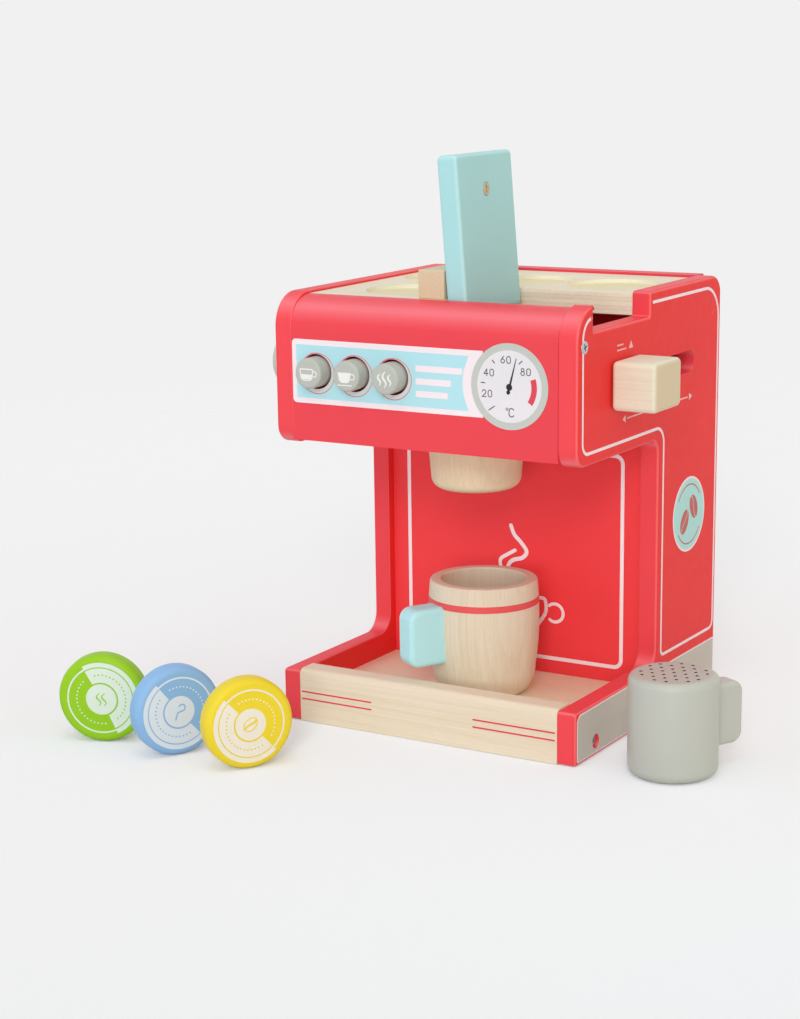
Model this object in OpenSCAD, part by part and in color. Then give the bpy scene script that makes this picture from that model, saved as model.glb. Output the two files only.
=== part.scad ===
// Toy coffee maker: a painted wooden cabinet with a lift-up lid, a sliding pod drop, push buttons,
// a turned side knob, and a loose mug, sprinkle shaker and three coffee pods standing around it.
// Millimetres. +X is the side with the slider handle, -Y is the front, +Z is up.
// The origin is the middle of the cabinet's underside.

/* [Cabinet] */
// Width over the two side panels
cabinet_w = 200; // [190:1:230]
// Depth of the side panels, front to back
cabinet_d = 195; // [190:1:230]
// Height of the side panels
cabinet_h = 261; // [250:1:290]
// Thickness of each side panel
panel_t = 12; // [10:0.5:14]
// Thickness of the back panel
back_t = 12; // [8:0.5:14]
// Height of the side panels' lower arms
arm_h = 32; // [24:1:36]
// Height of the head, from the side panels' underside to their top
head_h = 89; // [87:0.5:94]
// Depth of the column behind the serving bay
column_d = 88.5; // [84:0.5:96]
// How far the splash panel stands behind the columns' front edges
splash_setback = 6; // [2:0.5:8]
// Thickness of the splash panel
splash_t = 8; // [5:0.5:9]
// Thickness of the base board that the mug stands on
floor_t = 17.2; // [12:0.1:20]
// Height of the front bar
bar_h = 33; // [26:0.5:34]
// Depth of the front bar
bar_t = 17.5; // [12:0.5:19]
// Rounding of the front bar's upper edges
bar_round = 4; // [1:0.5:6]

/* [Panel corners] */
// Rounding of the upper front corners
front_top_r = 20; // [8:1:22]
// Rounding of the upper back corners
rear_top_r = 11; // [4:1:16]
// Rounding of the head's lower front corners
head_front_r = 10.5; // [2:0.5:12]
// Rounding of the inside corner between the head and the column
head_column_r = 7; // [3:0.5:12]
// Rounding of the inside corner between the column and the lower arm
column_base_r = 12; // [4:0.5:18]
// Rounding of the lower arm's upper front corner
arm_front_r = 2.5; // [1:0.5:8]

/* [Head] */
// Thickness of the front fascia
fascia_t = 20; // [18:0.5:22]
// How far the fascia stops above the side panels' underside
fascia_lift = 3; // [1:0.5:5]
// Thickness of the board under the head
head_floor_t = 12; // [8:0.5:13]
// Thickness of the pod tray on top
tray_t = 13; // [9:0.5:14]
// How far the tray lies below the side panels' top edges
tray_drop = 1.5; // [0:0.5:3]
// Radius of the round pod recesses in the tray
recess_r = 28; // [27.5:0.1:28.4]
// Depth of the pod recesses
recess_depth = 2.5; // [1:0.5:4]
// Thickness of the wall between the chute and the button space
chute_wall_t = 8; // [5:0.5:8]
// Side of the square batten under the tray's back edge
batten_s = 11; // [10.5:0.5:12]

/* [Chute and lid] */
// Width of the pod chute, less a fifth of the space between the side panels
chute_base = 34.3; // [31:0.1:34.6]
// Length of the pod chute, behind the fascia
chute_len = 74.5; // [70:0.5:76]
// Depth of the notch in the right panel's top edge
notch_depth = 14.4; // [14:0.1:15]
// Length of that notch
notch_len = 73; // [68:0.5:74]
// Thickness of the lid
lid_t = 13; // [12:0.1:14.4]
// Width of the lid, along its pin
lid_w = 66; // [60:0.5:67]
// How far the closed lid reaches over the right side panel
lid_reach = 11.4; // [4:0.1:11.6]
// Rounding of the corners at the lid's free end
lid_corner_r = 3; // [1:0.5:8]
// How far the open lid leans back past upright, in degrees
lid_lean = 4.4; // [2:0.1:8]
// Clearance under the closed lid
lid_gap = 0.3; // [0.2:0.1:0.6]
// Radius of the lid's pin
pin_r = 2; // [1.5:0.1:2.5]
// How far the pin goes into the fascia and into the tray
pin_seat = 7; // [5:0.5:9]
// Radial clearance of the lid on its pin
pin_clearance = 0.06; // [0.03:0.01:0.1]
// Width of the bar that the open lid leans on
stop_bar_w = 17.1; // [10:0.1:20]
// Height of that bar
stop_bar_h = 16.5; // [10:0.5:20]
// Length of that bar
stop_bar_len = 66; // [40:1:70]
// Distance of the lid's screw from its free end
lid_screw_inset = 21; // [12:0.5:30]

/* [Pods and slider] */
// Radius of a pod
pod_r = 26.8; // [24:0.1:26.8]
// Thickness of a pod
pod_t = 14; // [8:0.5:14.5]
// Rounding of a pod's edges
pod_round = 4; // [1:0.5:5]
// Play of a pod in the slider's hole, all round
pod_play = 1; // [0.5:0.1:1.2]
// Thickness of the slider plate
slider_t = 15; // [12:0.5:16]
// Length of the slider plate, along its travel
slider_len = 68; // [66:0.5:69]
// Side clearance of the slider plate
slider_gap = 0.5; // [0.3:0.1:0.6]
// Height of the slider's slot above the head's underside
slot_rise = 41.4; // [39:0.1:43]
// Radius of the dowel between the slider and its handle
dowel_r = 6.3; // [4:0.1:6.5]
// Clearance of the dowel in its slot
slot_clearance = 0.3; // [0.2:0.1:0.6]
// How deep the dowel sits in the slider plate
dowel_seat = 4; // [2:0.5:4.5]
// Distance of the dowel behind the middle of the slider's hole
dowel_offset = 0.8; // [0:0.1:6]
// Width of the slider's handle, along its travel
handle_w = 35; // [28:0.2:40]
// Height of the slider's handle
handle_h = 28; // [22:0.5:30]
// How far the slider's handle stands out
handle_t = 27.4; // [16:0.2:30]
// Rounding of the slider's handle
handle_round = 3.5; // [1:0.5:5]
// Gap between the handle and the side panel
handle_gap = 0.6; // [0.3:0.1:1]
// Width of the pod outlet in the back panel
outlet_w = 150; // [90:1:160]
// Height of the pod outlet above the base board
outlet_h = 45; // [30:1:60]
// Rounding of the outlet's upper corners
outlet_r = 12; // [4:1:20]

/* [Buttons and knob] */
// Radius of a button
button_r = 9; // [7:0.1:9.5]
// Radius of a button's hole in the fascia
button_hole_r = 10.3; // [9.8:0.1:10.8]
// How far a button stands out of the fascia
button_proud = 10; // [7:0.5:12]
// Rounding of a button's front edge
button_round = 1.5; // [0.5:0.1:3]
// Distance between buttons
button_pitch = 26.15; // [25:0.05:28]
// Distance of the first button from the left side panel
button_inset = 17.55; // [16:0.05:22]
// Height of the buttons above the head's underside
button_rise = 44.5; // [41:0.5:50]
// How far a button can be pressed
button_travel = 6; // [3:0.5:7]
// Radius of the collar that keeps a button in
collar_r = 12; // [11.4:0.1:12]
// Thickness of that collar
collar_t = 3.5; // [2:0.5:5]
// Radius of a button's guide stem
stem_r = 4; // [3:0.1:4.4]
// Radial clearance of a stem in its board
stem_clearance = 0.08; // [0.04:0.01:0.1]
// Length of a button's spring
spring_len = 12.7; // [11:0.1:14]
// Radius of the spring wire
wire_r = 0.6; // [0.4:0.05:0.7]
// Thickness of the board behind the buttons
button_board_t = 8; // [6:0.5:10]
// Radius of the side knob
knob_r = 15.5; // [12:0.5:18]
// How far the side knob stands out
knob_t = 11.5; // [9:0.5:16]
// Rounding of the side knob's outer edge
knob_round = 3; // [1:0.5:5]
// Distance of the side knob behind the front face
knob_inset = 28.5; // [26:0.5:34]
// Height of the side knob above the head's underside
knob_rise = 46; // [42:0.5:52]
// Radius of the knob's axle
axle_r = 4; // [3:0.1:5]
// Radial clearance of the axle in the side panel
axle_clearance = 0.06; // [0.03:0.01:0.1]
// Radius of the collar inside the panel
axle_collar_r = 8; // [6:0.5:9]
// Thickness of the collar inside the panel
axle_collar_t = 3.2; // [2:0.1:3.4]

/* [Nozzle] */
// Radius of the nozzle at the top
nozzle_r = 29; // [24:0.1:30]
// Height of the nozzle
nozzle_h = 32; // [20:1:34]
// How much the nozzle narrows from top to bottom
nozzle_taper = 1.9; // [0:0.1:5]
// Rounding of the nozzle's lower edge
nozzle_round = 7; // [2:0.5:10]
// Sideways place of the nozzle and the mug's bay
nozzle_x = 3; // [-10:0.5:12]
// Distance of the nozzle behind the front face
nozzle_inset = 59.5; // [50:0.5:66]

/* [Mug] */
// Radius of the mug at its widest
mug_r = 33.6; // [30:0.1:36]
// Height of the mug
mug_h = 71; // [60:1:76]
// Thickness of the mug's wall at the rim
mug_wall = 6.8; // [4:0.1:9]
// Radius of the mug's foot
mug_foot_r = 23; // [20:0.5:24]
// Height of the rounded stretch above the foot
mug_foot_h = 12.5; // [6:0.5:14]
// Height at which the mug is widest
mug_belly_h = 50; // [36:1:56]
// Thickness of the mug's bottom
mug_floor_t = 12; // [6:0.5:20]
// Sideways place of the mug
mug_x = 7; // [0:0.5:10]
// Distance of the mug's middle behind the front face
mug_inset = 60.5; // [60:0.5:62]
// Direction of the mug's handle, in degrees from +X
mug_turn = 240; // [200:1:250]

/* [Shaker] */
// Radius of the shaker
shaker_r = 25.6; // [22:0.1:28]
// Height of the shaker
shaker_h = 58.6; // [50:0.2:66]
// Rounding of the shaker's top edge
shaker_top_round = 4.5; // [2:0.5:6]
// Rounding of the shaker's bottom edge
shaker_foot_round = 6; // [2:0.5:8]
// Radius of a sprinkle hole
sprinkle_r = 1; // [0.6:0.05:1.4]
// Distance between sprinkle holes
sprinkle_pitch = 7; // [6:0.1:9]
// Depth of the sprinkle holes
sprinkle_depth = 5; // [2:0.5:8]
// Place of the shaker to the right of the cabinet's middle
shaker_x = 150.8; // [145:0.1:190]
// Place of the shaker in front of the cabinet's middle
shaker_front = 77.2; // [60:0.1:110]
// Direction of the shaker's handle, in degrees from +X
shaker_turn = 62; // [0:1:80]

/* [Block handles] */
// How far the mug's handle stands out of its body
mug_grip_out = 21.6; // [16:0.2:26]
// Height of the mug's handle
mug_grip_h = 35.5; // [28:0.5:40]
// Thickness of the mug's handle
mug_grip_t = 16; // [10:0.5:18]
// Height of the middle of the mug's handle above the mug's foot
mug_grip_z = 40.5; // [36:0.5:46]
// How far the shaker's handle stands out of its body
shaker_grip_out = 19.2; // [10:0.2:22]
// Height of the shaker's handle
shaker_grip_h = 37; // [30:0.5:44]
// Thickness of the shaker's handle
shaker_grip_t = 14; // [9:0.5:16]
// Height of the middle of the shaker's handle
shaker_grip_z = 30.5; // [26:0.5:34]
// Rounding of both handles' outer corners
grip_corner_r = 7; // [4:0.5:9]
// Easing of both handles' edges
grip_round = 3; // [1:0.5:4]

/* [Loose pods] */
// Distance of the loose pods in front of the cabinet's middle
pod_front = 185; // [150:1:230]
// Sideways place of the green pod
green_x = -170; // [-200:1:-160]
// Sideways place of the blue pod
blue_x = -117.5; // [-130:0.5:-110]
// Sideways place of the yellow pod
yellow_x = -66.5; // [-80:0.5:-40]
// Direction in which the green pod faces, in degrees from -Y
green_turn = 23; // [0:1:60]
// Direction in which the blue pod faces, in degrees from -Y
blue_turn = 60; // [40:1:90]
// Direction in which the yellow pod faces, in degrees from -Y
yellow_turn = 56.5; // [40:0.5:90]

/* [Screws] */
// Radius of a screw's head
screw_head_r = 4; // [3:0.1:4.5]
// Height of a screw's head
screw_head_h = 2.4; // [1.5:0.1:3]
// Radius of a screw's shank
screw_r = 1.9; // [1.5:0.1:2]
// Length of a screw
screw_len = 30; // [20:1:36]
// Length of the lid's screw
lid_screw_len = 10; // [6:0.5:12]
// How deep the lid's screw is sunk
lid_screw_sink = 1; // [0.5:0.1:2]
// Play round a screw's head and shank
screw_play = 0.05; // [0.02:0.01:0.1]
// How deep the lower screws are sunk
screw_sink = 3; // [1:0.5:5]
// Distance of the upper screws behind the front face
top_screw_inset = 8.7; // [6:0.1:12]
// Distance of the upper screws below the side panels' top
top_screw_drop = 21.9; // [19:0.1:31]
// Distance of the lower screws behind the front face
low_screw_inset = 25.5; // [23:0.5:40]
// Height of the lower screws
low_screw_z = 9; // [6:0.5:10]

/* [Hidden] */

$fn = 96;
hull_fn = 24;               // sides of the round corners that hull() joins
seat = 0.02;                // play of a glued or driven piece in its hole
cut = 1;                    // how far a cutter runs past the face that it opens

// Planes of the cabinet
front_y = -cabinet_d / 2;
back_y = cabinet_d / 2;
inner_x = cabinet_w / 2 - panel_t;
column_y = back_y - column_d;
splash_y = column_y + splash_setback;
splash_back_y = splash_y + splash_t;
rear_y = back_y - back_t;
head_z = cabinet_h - head_h;
fascia_z = head_z + fascia_lift;
tray_top_z = cabinet_h - tray_drop;
tray_z = tray_top_z - tray_t;

// Chute and lid
chute_w = chute_base + 2 * inner_x / 5;
chute_x = inner_x - chute_w;
chute_y = front_y + fascia_t;
chute_end_y = chute_y + chute_len;
notch_z = cabinet_h - notch_depth;
hinge_x = chute_x - lid_t / 2;
hinge_z = notch_z + lid_gap + lid_t / 2;
lid_len = inner_x + lid_reach - hinge_x;
lid_mid_y = chute_y + (notch_len - 3) / 2;
tray_gap = 0.8;
tray_edge_x = hinge_x - lid_t / 2 - tray_gap;
// Where the open lid's back face crosses the top of the stop bar
stop_top_z = tray_top_z + stop_bar_h;
stop_run = (stop_top_z - hinge_z + lid_t / 2 * sin(lid_lean)) / cos(lid_lean);
stop_x = hinge_x - lid_t / 2 * cos(lid_lean) - stop_run * sin(lid_lean) - lid_gap;

// Pod slider
slot_z = head_z + slot_rise;
ring_x = (chute_x + inner_x) / 2;
ring_y = chute_y + chute_len / 2;
slider_w = chute_w - 2 * slider_gap;
slider_travel = rear_y - slider_gap - (ring_y + slider_len / 2);
slot_r = dowel_r + slot_clearance;
dowel_y = ring_y + dowel_offset;
shelf_z = slot_z - slider_t / 2 - 0.3;
head_floor_top_z = fascia_z + head_floor_t;
rail_t = 12;
rail_w = chute_w / 2 - pod_r - pod_play;

// Buttons
button_mid_x = -inner_x + button_inset + button_pitch;
button_z = head_z + button_rise;
collar_y = chute_y + 0.3;
board_y = collar_y + collar_t + spring_len;
coil_r = stem_r + wire_r + 1;
coil_turns = 5;

// Nozzle, mug and knob
nozzle_y = front_y + nozzle_inset;
mug_y = front_y + mug_inset;
knob_y = front_y + knob_inset;
knob_z = head_z + knob_rise;
knob_gap = 0.4;

// Screws
top_screw_z = cabinet_h - top_screw_drop;
rear_screw_y = rear_y - batten_s / 3;
rear_screw_z = tray_z - batten_s * 0.42;

module block(low, high) {
    translate(low) cube(high - low);
}

// Extrudes a profile drawn in Y and Z from x, over thickness t
module along_x(x, t) {
    translate([x, 0, 0]) rotate([90, 0, 90]) linear_extrude(t) children();
}

// Extrudes a profile drawn in X and Z from y, over thickness t
module along_y(y, t) {
    translate([0, y + t, 0]) rotate([90, 0, 0]) linear_extrude(t) children();
}

// A cylinder along +X from a point, or along +Y from a point
module rod_x(point, r, len) {
    translate(point) rotate([0, 90, 0]) cylinder(r = r, h = len);
}

module rod_y(point, r, len) {
    translate(point) rotate([-90, 0, 0]) cylinder(r = r, h = len);
}

// What lies between a square corner at the origin and the arc that rounds it
module corner(r) {
    difference() {
        translate([-cut, -cut]) square(r + cut);
        translate([r, r]) circle(r);
    }
}

// ---- Cabinet ----

// Outline of a side panel: lower arm, column and head in one board
module side_outline() {
    difference() {
        union() {
            difference() {
                translate([front_y, 0]) square([cabinet_d, cabinet_h]);
                translate([front_y - cut, arm_h]) square([column_y - front_y + cut, head_z - arm_h]);
            }
            translate([column_y, arm_h]) mirror([1, 0]) corner(column_base_r);
            translate([column_y, head_z]) mirror([1, 0]) mirror([0, 1]) corner(head_column_r);
        }
        translate([front_y, cabinet_h]) mirror([0, 1]) corner(front_top_r);
        translate([back_y, cabinet_h]) mirror([1, 0]) mirror([0, 1]) corner(rear_top_r);
        translate([front_y, head_z]) corner(head_front_r);
        translate([front_y, arm_h]) mirror([0, 1]) corner(arm_front_r);
    }
}

// Places of the three screws in each side, as Y, Z and how deep the head is sunk
side_screws = [
    [front_y + top_screw_inset, top_screw_z, 0],
    [front_y + low_screw_inset, low_screw_z, screw_sink],
    [rear_screw_y, rear_screw_z, screw_sink]
];

// One screw, its head's top at the origin and its shank along -Z
module screw(play = 0, len = screw_len) {
    translate([0, 0, -screw_head_h - play]) cylinder(r = screw_head_r + play, h = screw_head_h + play);
    translate([0, 0, -len - play]) cylinder(r = screw_r + play, h = len + play);
}

// The six side screws, or the holes that they need
module side_screw_set(play = 0) {
    for (side = [-1, 1], place = side_screws)
        translate([side * (cabinet_w / 2 - place[2]), place[0], place[1]])
            rotate([0, side * 90, 0]) {
                screw(play);
                if (play > 0) cylinder(r = screw_head_r + play, h = place[2] + cut);
            }
}

module left_panel() {
    color("#EF4F5B") difference() {
        along_x(-cabinet_w / 2, panel_t) side_outline();
        side_screw_set(screw_play);
        rod_x([-cabinet_w / 2 - cut, knob_y, knob_z], axle_r + axle_clearance, panel_t + 2 * cut);
    }
}

module right_panel() {
    color("#EF4F5B") difference() {
        along_x(inner_x, panel_t) difference() {
            side_outline();
            translate([chute_y, notch_z]) square([notch_len, notch_depth + cut]);
            for (y = [dowel_y, dowel_y + slider_travel]) translate([y, slot_z]) circle(slot_r);
            translate([dowel_y, slot_z - slot_r]) square([slider_travel, 2 * slot_r]);
        }
        side_screw_set(screw_play);
    }
}

module back_panel() {
    color("#E34A44") along_y(rear_y, back_t) difference() {
        translate([-inner_x, 0]) square([2 * inner_x, cabinet_h]);
        difference() {
            translate([-outlet_w / 2, floor_t]) square([outlet_w, outlet_h]);
            for (side = [0, 1])
                translate([(side - 0.5) * outlet_w, floor_t + outlet_h])
                    mirror([side, 0]) mirror([0, 1]) corner(outlet_r);
        }
    }
}

module base_board() {
    color("#E6D9B8") difference() {
        block([-inner_x, front_y + bar_t, 0], [inner_x, rear_y, floor_t]);
        side_screw_set(screw_play);
    }
}

module front_bar() {
    color("#E6D9B8") along_x(-inner_x, 2 * inner_x) difference() {
        translate([front_y, 0]) square([bar_t, bar_h]);
        translate([front_y, bar_h]) mirror([0, 1]) corner(bar_round);
        translate([front_y + bar_t, bar_h]) mirror([1, 0]) mirror([0, 1]) corner(bar_round);
    }
}

module splash_panel() {
    color("#E8343A") block([-inner_x, splash_y, floor_t], [inner_x, splash_back_y, fascia_z]);
}

// ---- Head ----

module head_floor() {
    color("#E34A44") difference() {
        block([-inner_x, chute_y, fascia_z], [inner_x, splash_back_y, head_floor_top_z]);
        nozzle_screw_at(screw_play);
    }
}

// Raises the pods to the slider's height and ends above the column, where they drop
module pod_deck() {
    color("#E6D9B8") block([chute_x, chute_y, head_floor_top_z], [inner_x, splash_back_y, shelf_z]);
}

module chute_wall() {
    color("#E34A44")
        block([chute_x - chute_wall_t, chute_y, head_floor_top_z], [chute_x, rear_y, tray_z]);
}

// Two rails that carry the slider's edges over the column and let a pod fall between them
module slider_rails() {
    color("#E6D9B8") for (x = [chute_x, inner_x - rail_w])
        block([x, splash_back_y, shelf_z - rail_t], [x + rail_w, rear_y, shelf_z]);
}

module rear_batten() {
    color("#E6D9B8") difference() {
        block([-inner_x, rear_y - batten_s, tray_z - batten_s], [inner_x, rear_y, tray_z]);
        side_screw_set(screw_play);
        block([chute_x - chute_wall_t - seat, rear_y - batten_s - cut, tray_z - batten_s - cut],
              [chute_x + seat, rear_y + cut, tray_z + cut]);
    }
}

module fascia() {
    nose_r = fascia_t - 0.5;
    color("#EF4F5B") difference() {
        along_x(-inner_x, 2 * inner_x) difference() {
            translate([front_y, fascia_z]) square([fascia_t, tray_top_z - fascia_z]);
            translate([front_y, tray_top_z]) mirror([0, 1]) corner(nose_r);
        }
        for (i = [-1, 0, 1])
            rod_y([button_mid_x + i * button_pitch, front_y - cut, button_z],
                  button_hole_r, fascia_t + 2 * cut);
        rod_y([hinge_x, chute_y - pin_seat, hinge_z], pin_r + seat, pin_seat + cut);
        side_screw_set(screw_play);
    }
}

// Plywood tray: a strip behind the chute and a wing to the left of it, with round pod recesses
module tray() {
    side_margin = 3;
    row_margin = 11;
    wing_margin = 17.2;
    row_pitch = inner_x - recess_r - side_margin;
    row_y = chute_end_y + recess_r + row_margin;
    wing_x = tray_edge_x - recess_r - wing_margin;
    wing_y = chute_y + chute_len / 2 + 3.75;
    color("#E6D9B8") difference() {
        union() {
            block([-inner_x, chute_end_y, tray_z], [inner_x, rear_y, tray_top_z]);
            block([-inner_x, chute_y, tray_z], [tray_edge_x, chute_end_y, tray_top_z]);
        }
        for (i = [-1, 0, 1])
            translate([i * row_pitch, row_y, tray_top_z - recess_depth]) cylinder(r = recess_r, h = tray_t);
        translate([wing_x, wing_y, tray_top_z - recess_depth]) cylinder(r = recess_r, h = tray_t);
        rod_y([hinge_x, chute_end_y - cut, hinge_z], pin_r + seat, pin_seat + cut);
    }
}

module stop_bar() {
    color("#E6D9B8") block([stop_x - stop_bar_w, lid_mid_y - stop_bar_len / 2, tray_top_z],
                           [stop_x, lid_mid_y + stop_bar_len / 2, stop_top_z]);
}

module nozzle() {
    foot_r = nozzle_r - nozzle_taper;
    color("#E6D9B8") difference() {
        translate([nozzle_x, nozzle_y, fascia_z - nozzle_h]) rotate_extrude() union() {
            polygon([[0, nozzle_round], [foot_r, nozzle_round], [nozzle_r, nozzle_h], [0, nozzle_h]]);
            square([foot_r - nozzle_round, nozzle_round]);
            intersection() {
                translate([foot_r - nozzle_round, nozzle_round]) circle(nozzle_round);
                square([foot_r, nozzle_round]);
            }
        }
        nozzle_screw_at(screw_play);
    }
}

module nozzle_screw_at(play = 0) {
    translate([nozzle_x, nozzle_y, head_floor_top_z]) screw(play);
}

module nozzle_screw() {
    color("#B9BCC0") nozzle_screw_at();
}

module panel_screws() {
    color("#B9BCC0") side_screw_set();
}

// Plugs that cover the two rear screws
module screw_plugs() {
    color("#EF4F5B") for (side = [-1, 1])
        translate([side * cabinet_w / 2, rear_screw_y, rear_screw_z]) rotate([0, side * 90, 0])
            translate([0, 0, -screw_sink]) cylinder(r = screw_head_r, h = screw_sink);
}

// ---- Lid ----

module lid_pin() {
    color("#B9BCC0")
        rod_y([hinge_x, chute_y - pin_seat + seat, hinge_z], pin_r, chute_len + 2 * (pin_seat - seat));
}

// Puts what is drawn upright at the origin on the open lid
module lid_frame() {
    translate([hinge_x, lid_mid_y, hinge_z]) rotate([0, -lid_lean, 0]) children();
}

module lid() {
    screw_z = lid_len - lid_screw_inset;
    color("#A3CDC6") lid_frame() difference() {
        along_y(-lid_w / 2, lid_w) {
            circle(lid_t / 2);
            translate([-lid_t / 2, 0]) square([lid_t, lid_len]);
        }
        for (side = [0, 1])
            mirror([0, side, 0]) along_x(-lid_t / 2 - cut, lid_t + 2 * cut)
                translate([lid_w / 2, lid_len]) mirror([1, 0]) mirror([0, 1]) corner(lid_corner_r);
        rod_y([0, -lid_w / 2 - cut, 0], pin_r + pin_clearance, lid_w + 2 * cut);
        translate([lid_t / 2 - lid_screw_sink, 0, screw_z]) rotate([0, 90, 0]) {
            screw(screw_play, lid_screw_len);
            cylinder(r = screw_head_r + screw_play, h = lid_screw_sink + cut);
        }
    }
}

module lid_screw() {
    color("#B9BCC0") lid_frame()
        translate([lid_t / 2 - lid_screw_sink, 0, lid_len - lid_screw_inset])
            rotate([0, 90, 0]) screw(0, lid_screw_len);
}

// ---- Pod slider ----

module slider_plate() {
    side = ring_x + slider_w / 2;
    color("#C8323A") difference() {
        block([ring_x - slider_w / 2, ring_y - slider_len / 2, slot_z - slider_t / 2],
              [side, ring_y + slider_len / 2, slot_z + slider_t / 2]);
        translate([ring_x, ring_y, slot_z - slider_t]) cylinder(r = pod_r + pod_play, h = 2 * slider_t);
        rod_x([side - dowel_seat, dowel_y, slot_z], dowel_r + seat, dowel_seat + cut);
    }
}

module slider_dowel() {
    start = ring_x + slider_w / 2 - dowel_seat + seat;
    end = cabinet_w / 2 + handle_gap + handle_t / 2;
    color("#E6D9B8") rod_x([start, dowel_y, slot_z], dowel_r, end - start);
}

// A block with all its edges rounded
module soft_block(low, high, r) {
    hull() for (x = [low.x + r, high.x - r], y = [low.y + r, high.y - r], z = [low.z + r, high.z - r])
        translate([x, y, z]) sphere(r = r, $fn = hull_fn);
}

module slider_handle() {
    x = cabinet_w / 2 + handle_gap;
    color("#E6D9B8") difference() {
        soft_block([x, dowel_y - handle_w / 2, slot_z - handle_h / 2],
                   [x + handle_t, dowel_y + handle_w / 2, slot_z + handle_h / 2], handle_round);
        rod_x([x - cut, dowel_y, slot_z], dowel_r + seat, handle_t / 2 + cut + seat);
    }
}

// ---- Buttons and knob ----

module button_board() {
    color("#E6D9B8") difference() {
        block([-inner_x, board_y, head_floor_top_z],
              [chute_x - chute_wall_t, board_y + button_board_t, tray_z]);
        for (i = [-1, 0, 1])
            rod_y([button_mid_x + i * button_pitch, board_y - cut, button_z],
                  stem_r + stem_clearance, button_board_t + 2 * cut);
    }
}

// Turned button: rounded head, collar behind the fascia and guide stem
module button(i) {
    shank = fascia_t + button_proud;
    stem_end = collar_t + spring_len + button_board_t + 2;
    color("#BDC4B6") translate([button_mid_x + i * button_pitch, collar_y, button_z]) rotate([90, 0, 0]) {
        rotate_extrude() difference() {
            translate([0, -collar_t]) square([button_r, shank + collar_t]);
            translate([button_r, shank]) rotate(180) corner(button_round);
        }
        translate([0, 0, -collar_t]) cylinder(r = collar_r, h = collar_t);
        translate([0, 0, -stem_end]) cylinder(r = stem_r, h = stem_end);
    }
}

module button_1() { button(-1); }
module button_2() { button(0); }
module button_3() { button(1); }

// Closed ring of points round a coil's wire at one step along it
function wire_ring(step, steps, length, sides) =
    let (turn = 360 * coil_turns * step / steps, z = wire_r + (length - 2 * wire_r) * step / steps)
    [for (k = [0 : sides - 1])
        let (a = 360 * k / sides, r = coil_r + wire_r * cos(a))
        [r * cos(turn), r * sin(turn), z + wire_r * sin(a)]];

// Coil spring along +Z
module coil(length) {
    steps = coil_turns * 14;
    sides = 6;
    rings = [for (step = [0 : steps]) each wire_ring(step, steps, length, sides)];
    sides_faces = [for (s = [0 : steps - 1], k = [0 : sides - 1])
        let (a = s * sides + k, b = s * sides + (k + 1) % sides)
        [a, b, b + sides, a + sides]];
    polyhedron(rings, concat(
        sides_faces,
        [[for (k = [sides - 1 : -1 : 0]) k]],
        [[for (k = [0 : sides - 1]) steps * sides + k]]
    ));
}

module button_spring(i) {
    end_gap = 0.1;
    color("#B9BCC0")
        translate([button_mid_x + i * button_pitch, collar_y + collar_t + end_gap, button_z])
            rotate([-90, 0, 0]) coil(spring_len - 2 * end_gap);
}

module button_spring_1() { button_spring(-1); }
module button_spring_2() { button_spring(0); }
module button_spring_3() { button_spring(1); }

module side_knob() {
    face = cabinet_w / 2 + knob_gap;
    color("#C6C9BD") translate([-face, knob_y, knob_z]) rotate([0, -90, 0]) difference() {
        rotate_extrude() difference() {
            square([knob_r, knob_t]);
            translate([knob_r, knob_t]) rotate(180) corner(knob_round);
        }
        translate([0, 0, -cut]) cylinder(r = axle_r + seat, h = knob_t * 0.6 + cut + seat);
    }
}

module knob_axle() {
    outer = cabinet_w / 2 + knob_gap + knob_t * 0.6;
    inner = inner_x - knob_gap - axle_collar_t;
    color("#E6D9B8") rod_x([-outer, knob_y, knob_z], axle_r, outer - inner);
}

module axle_collar() {
    color("#E6D9B8") difference() {
        rod_x([-inner_x + knob_gap, knob_y, knob_z], axle_collar_r, axle_collar_t);
        rod_x([-inner_x, knob_y, knob_z], axle_r + seat, axle_collar_t + 2 * cut);
    }
}

// ---- Mug and shaker ----

// Radius of the mug's outside at a height above its foot
function mug_wall_r(h) =
    let (bulge = 0.0024, side = mug_r - bulge * pow(max(h, mug_foot_h) - mug_belly_h, 2))
    h >= mug_foot_h ? side : mug_foot_r + (side - mug_foot_r) * sqrt(1 - pow(1 - h / mug_foot_h, 2));

// A barrel-shaped turning, hollow, with a broad flat rim
module mug_body() {
    low = [for (i = [0 : 6]) mug_foot_h * (1 - cos(90 * i / 6))];
    high = [for (i = [1 : 9]) mug_foot_h + (mug_h - mug_foot_h) * i / 9];
    hollow_r = mug_wall_r(mug_h) - mug_wall;
    hollow_round = 6;
    color("#E6D9B8") translate([mug_x, mug_y, floor_t]) rotate_extrude() difference() {
        polygon(concat([[0, 0]], [for (h = concat(low, high)) [mug_wall_r(h), h]], [[0, mug_h]]));
        difference() {
            translate([0, mug_floor_t]) square([hollow_r, mug_h]);
            translate([hollow_r, mug_floor_t]) mirror([1, 0]) corner(hollow_round);
        }
    }
}

// Upright block handle along +X: its outer corners are rounded, and its inner end fits a turned body
module grip(start, out, height, thick) {
    edge = grip_round;
    corner_in = grip_corner_r - edge;
    hull() {
        for (y = [edge - thick / 2, thick / 2 - edge], z = [edge - height / 2, height / 2 - edge])
            translate([start, y, z]) rotate([0, 90, 0]) cylinder(r = edge, h = 1, $fn = hull_fn);
        for (y = [edge - thick / 2, thick / 2 - edge], side = [-1, 1])
            translate([start + out - edge - corner_in, y, side * (height / 2 - edge - corner_in)])
                rotate([90, 0, 0]) rotate_extrude($fn = hull_fn)
                    translate([corner_in, 0]) circle(edge, $fn = hull_fn);
    }
}

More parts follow.
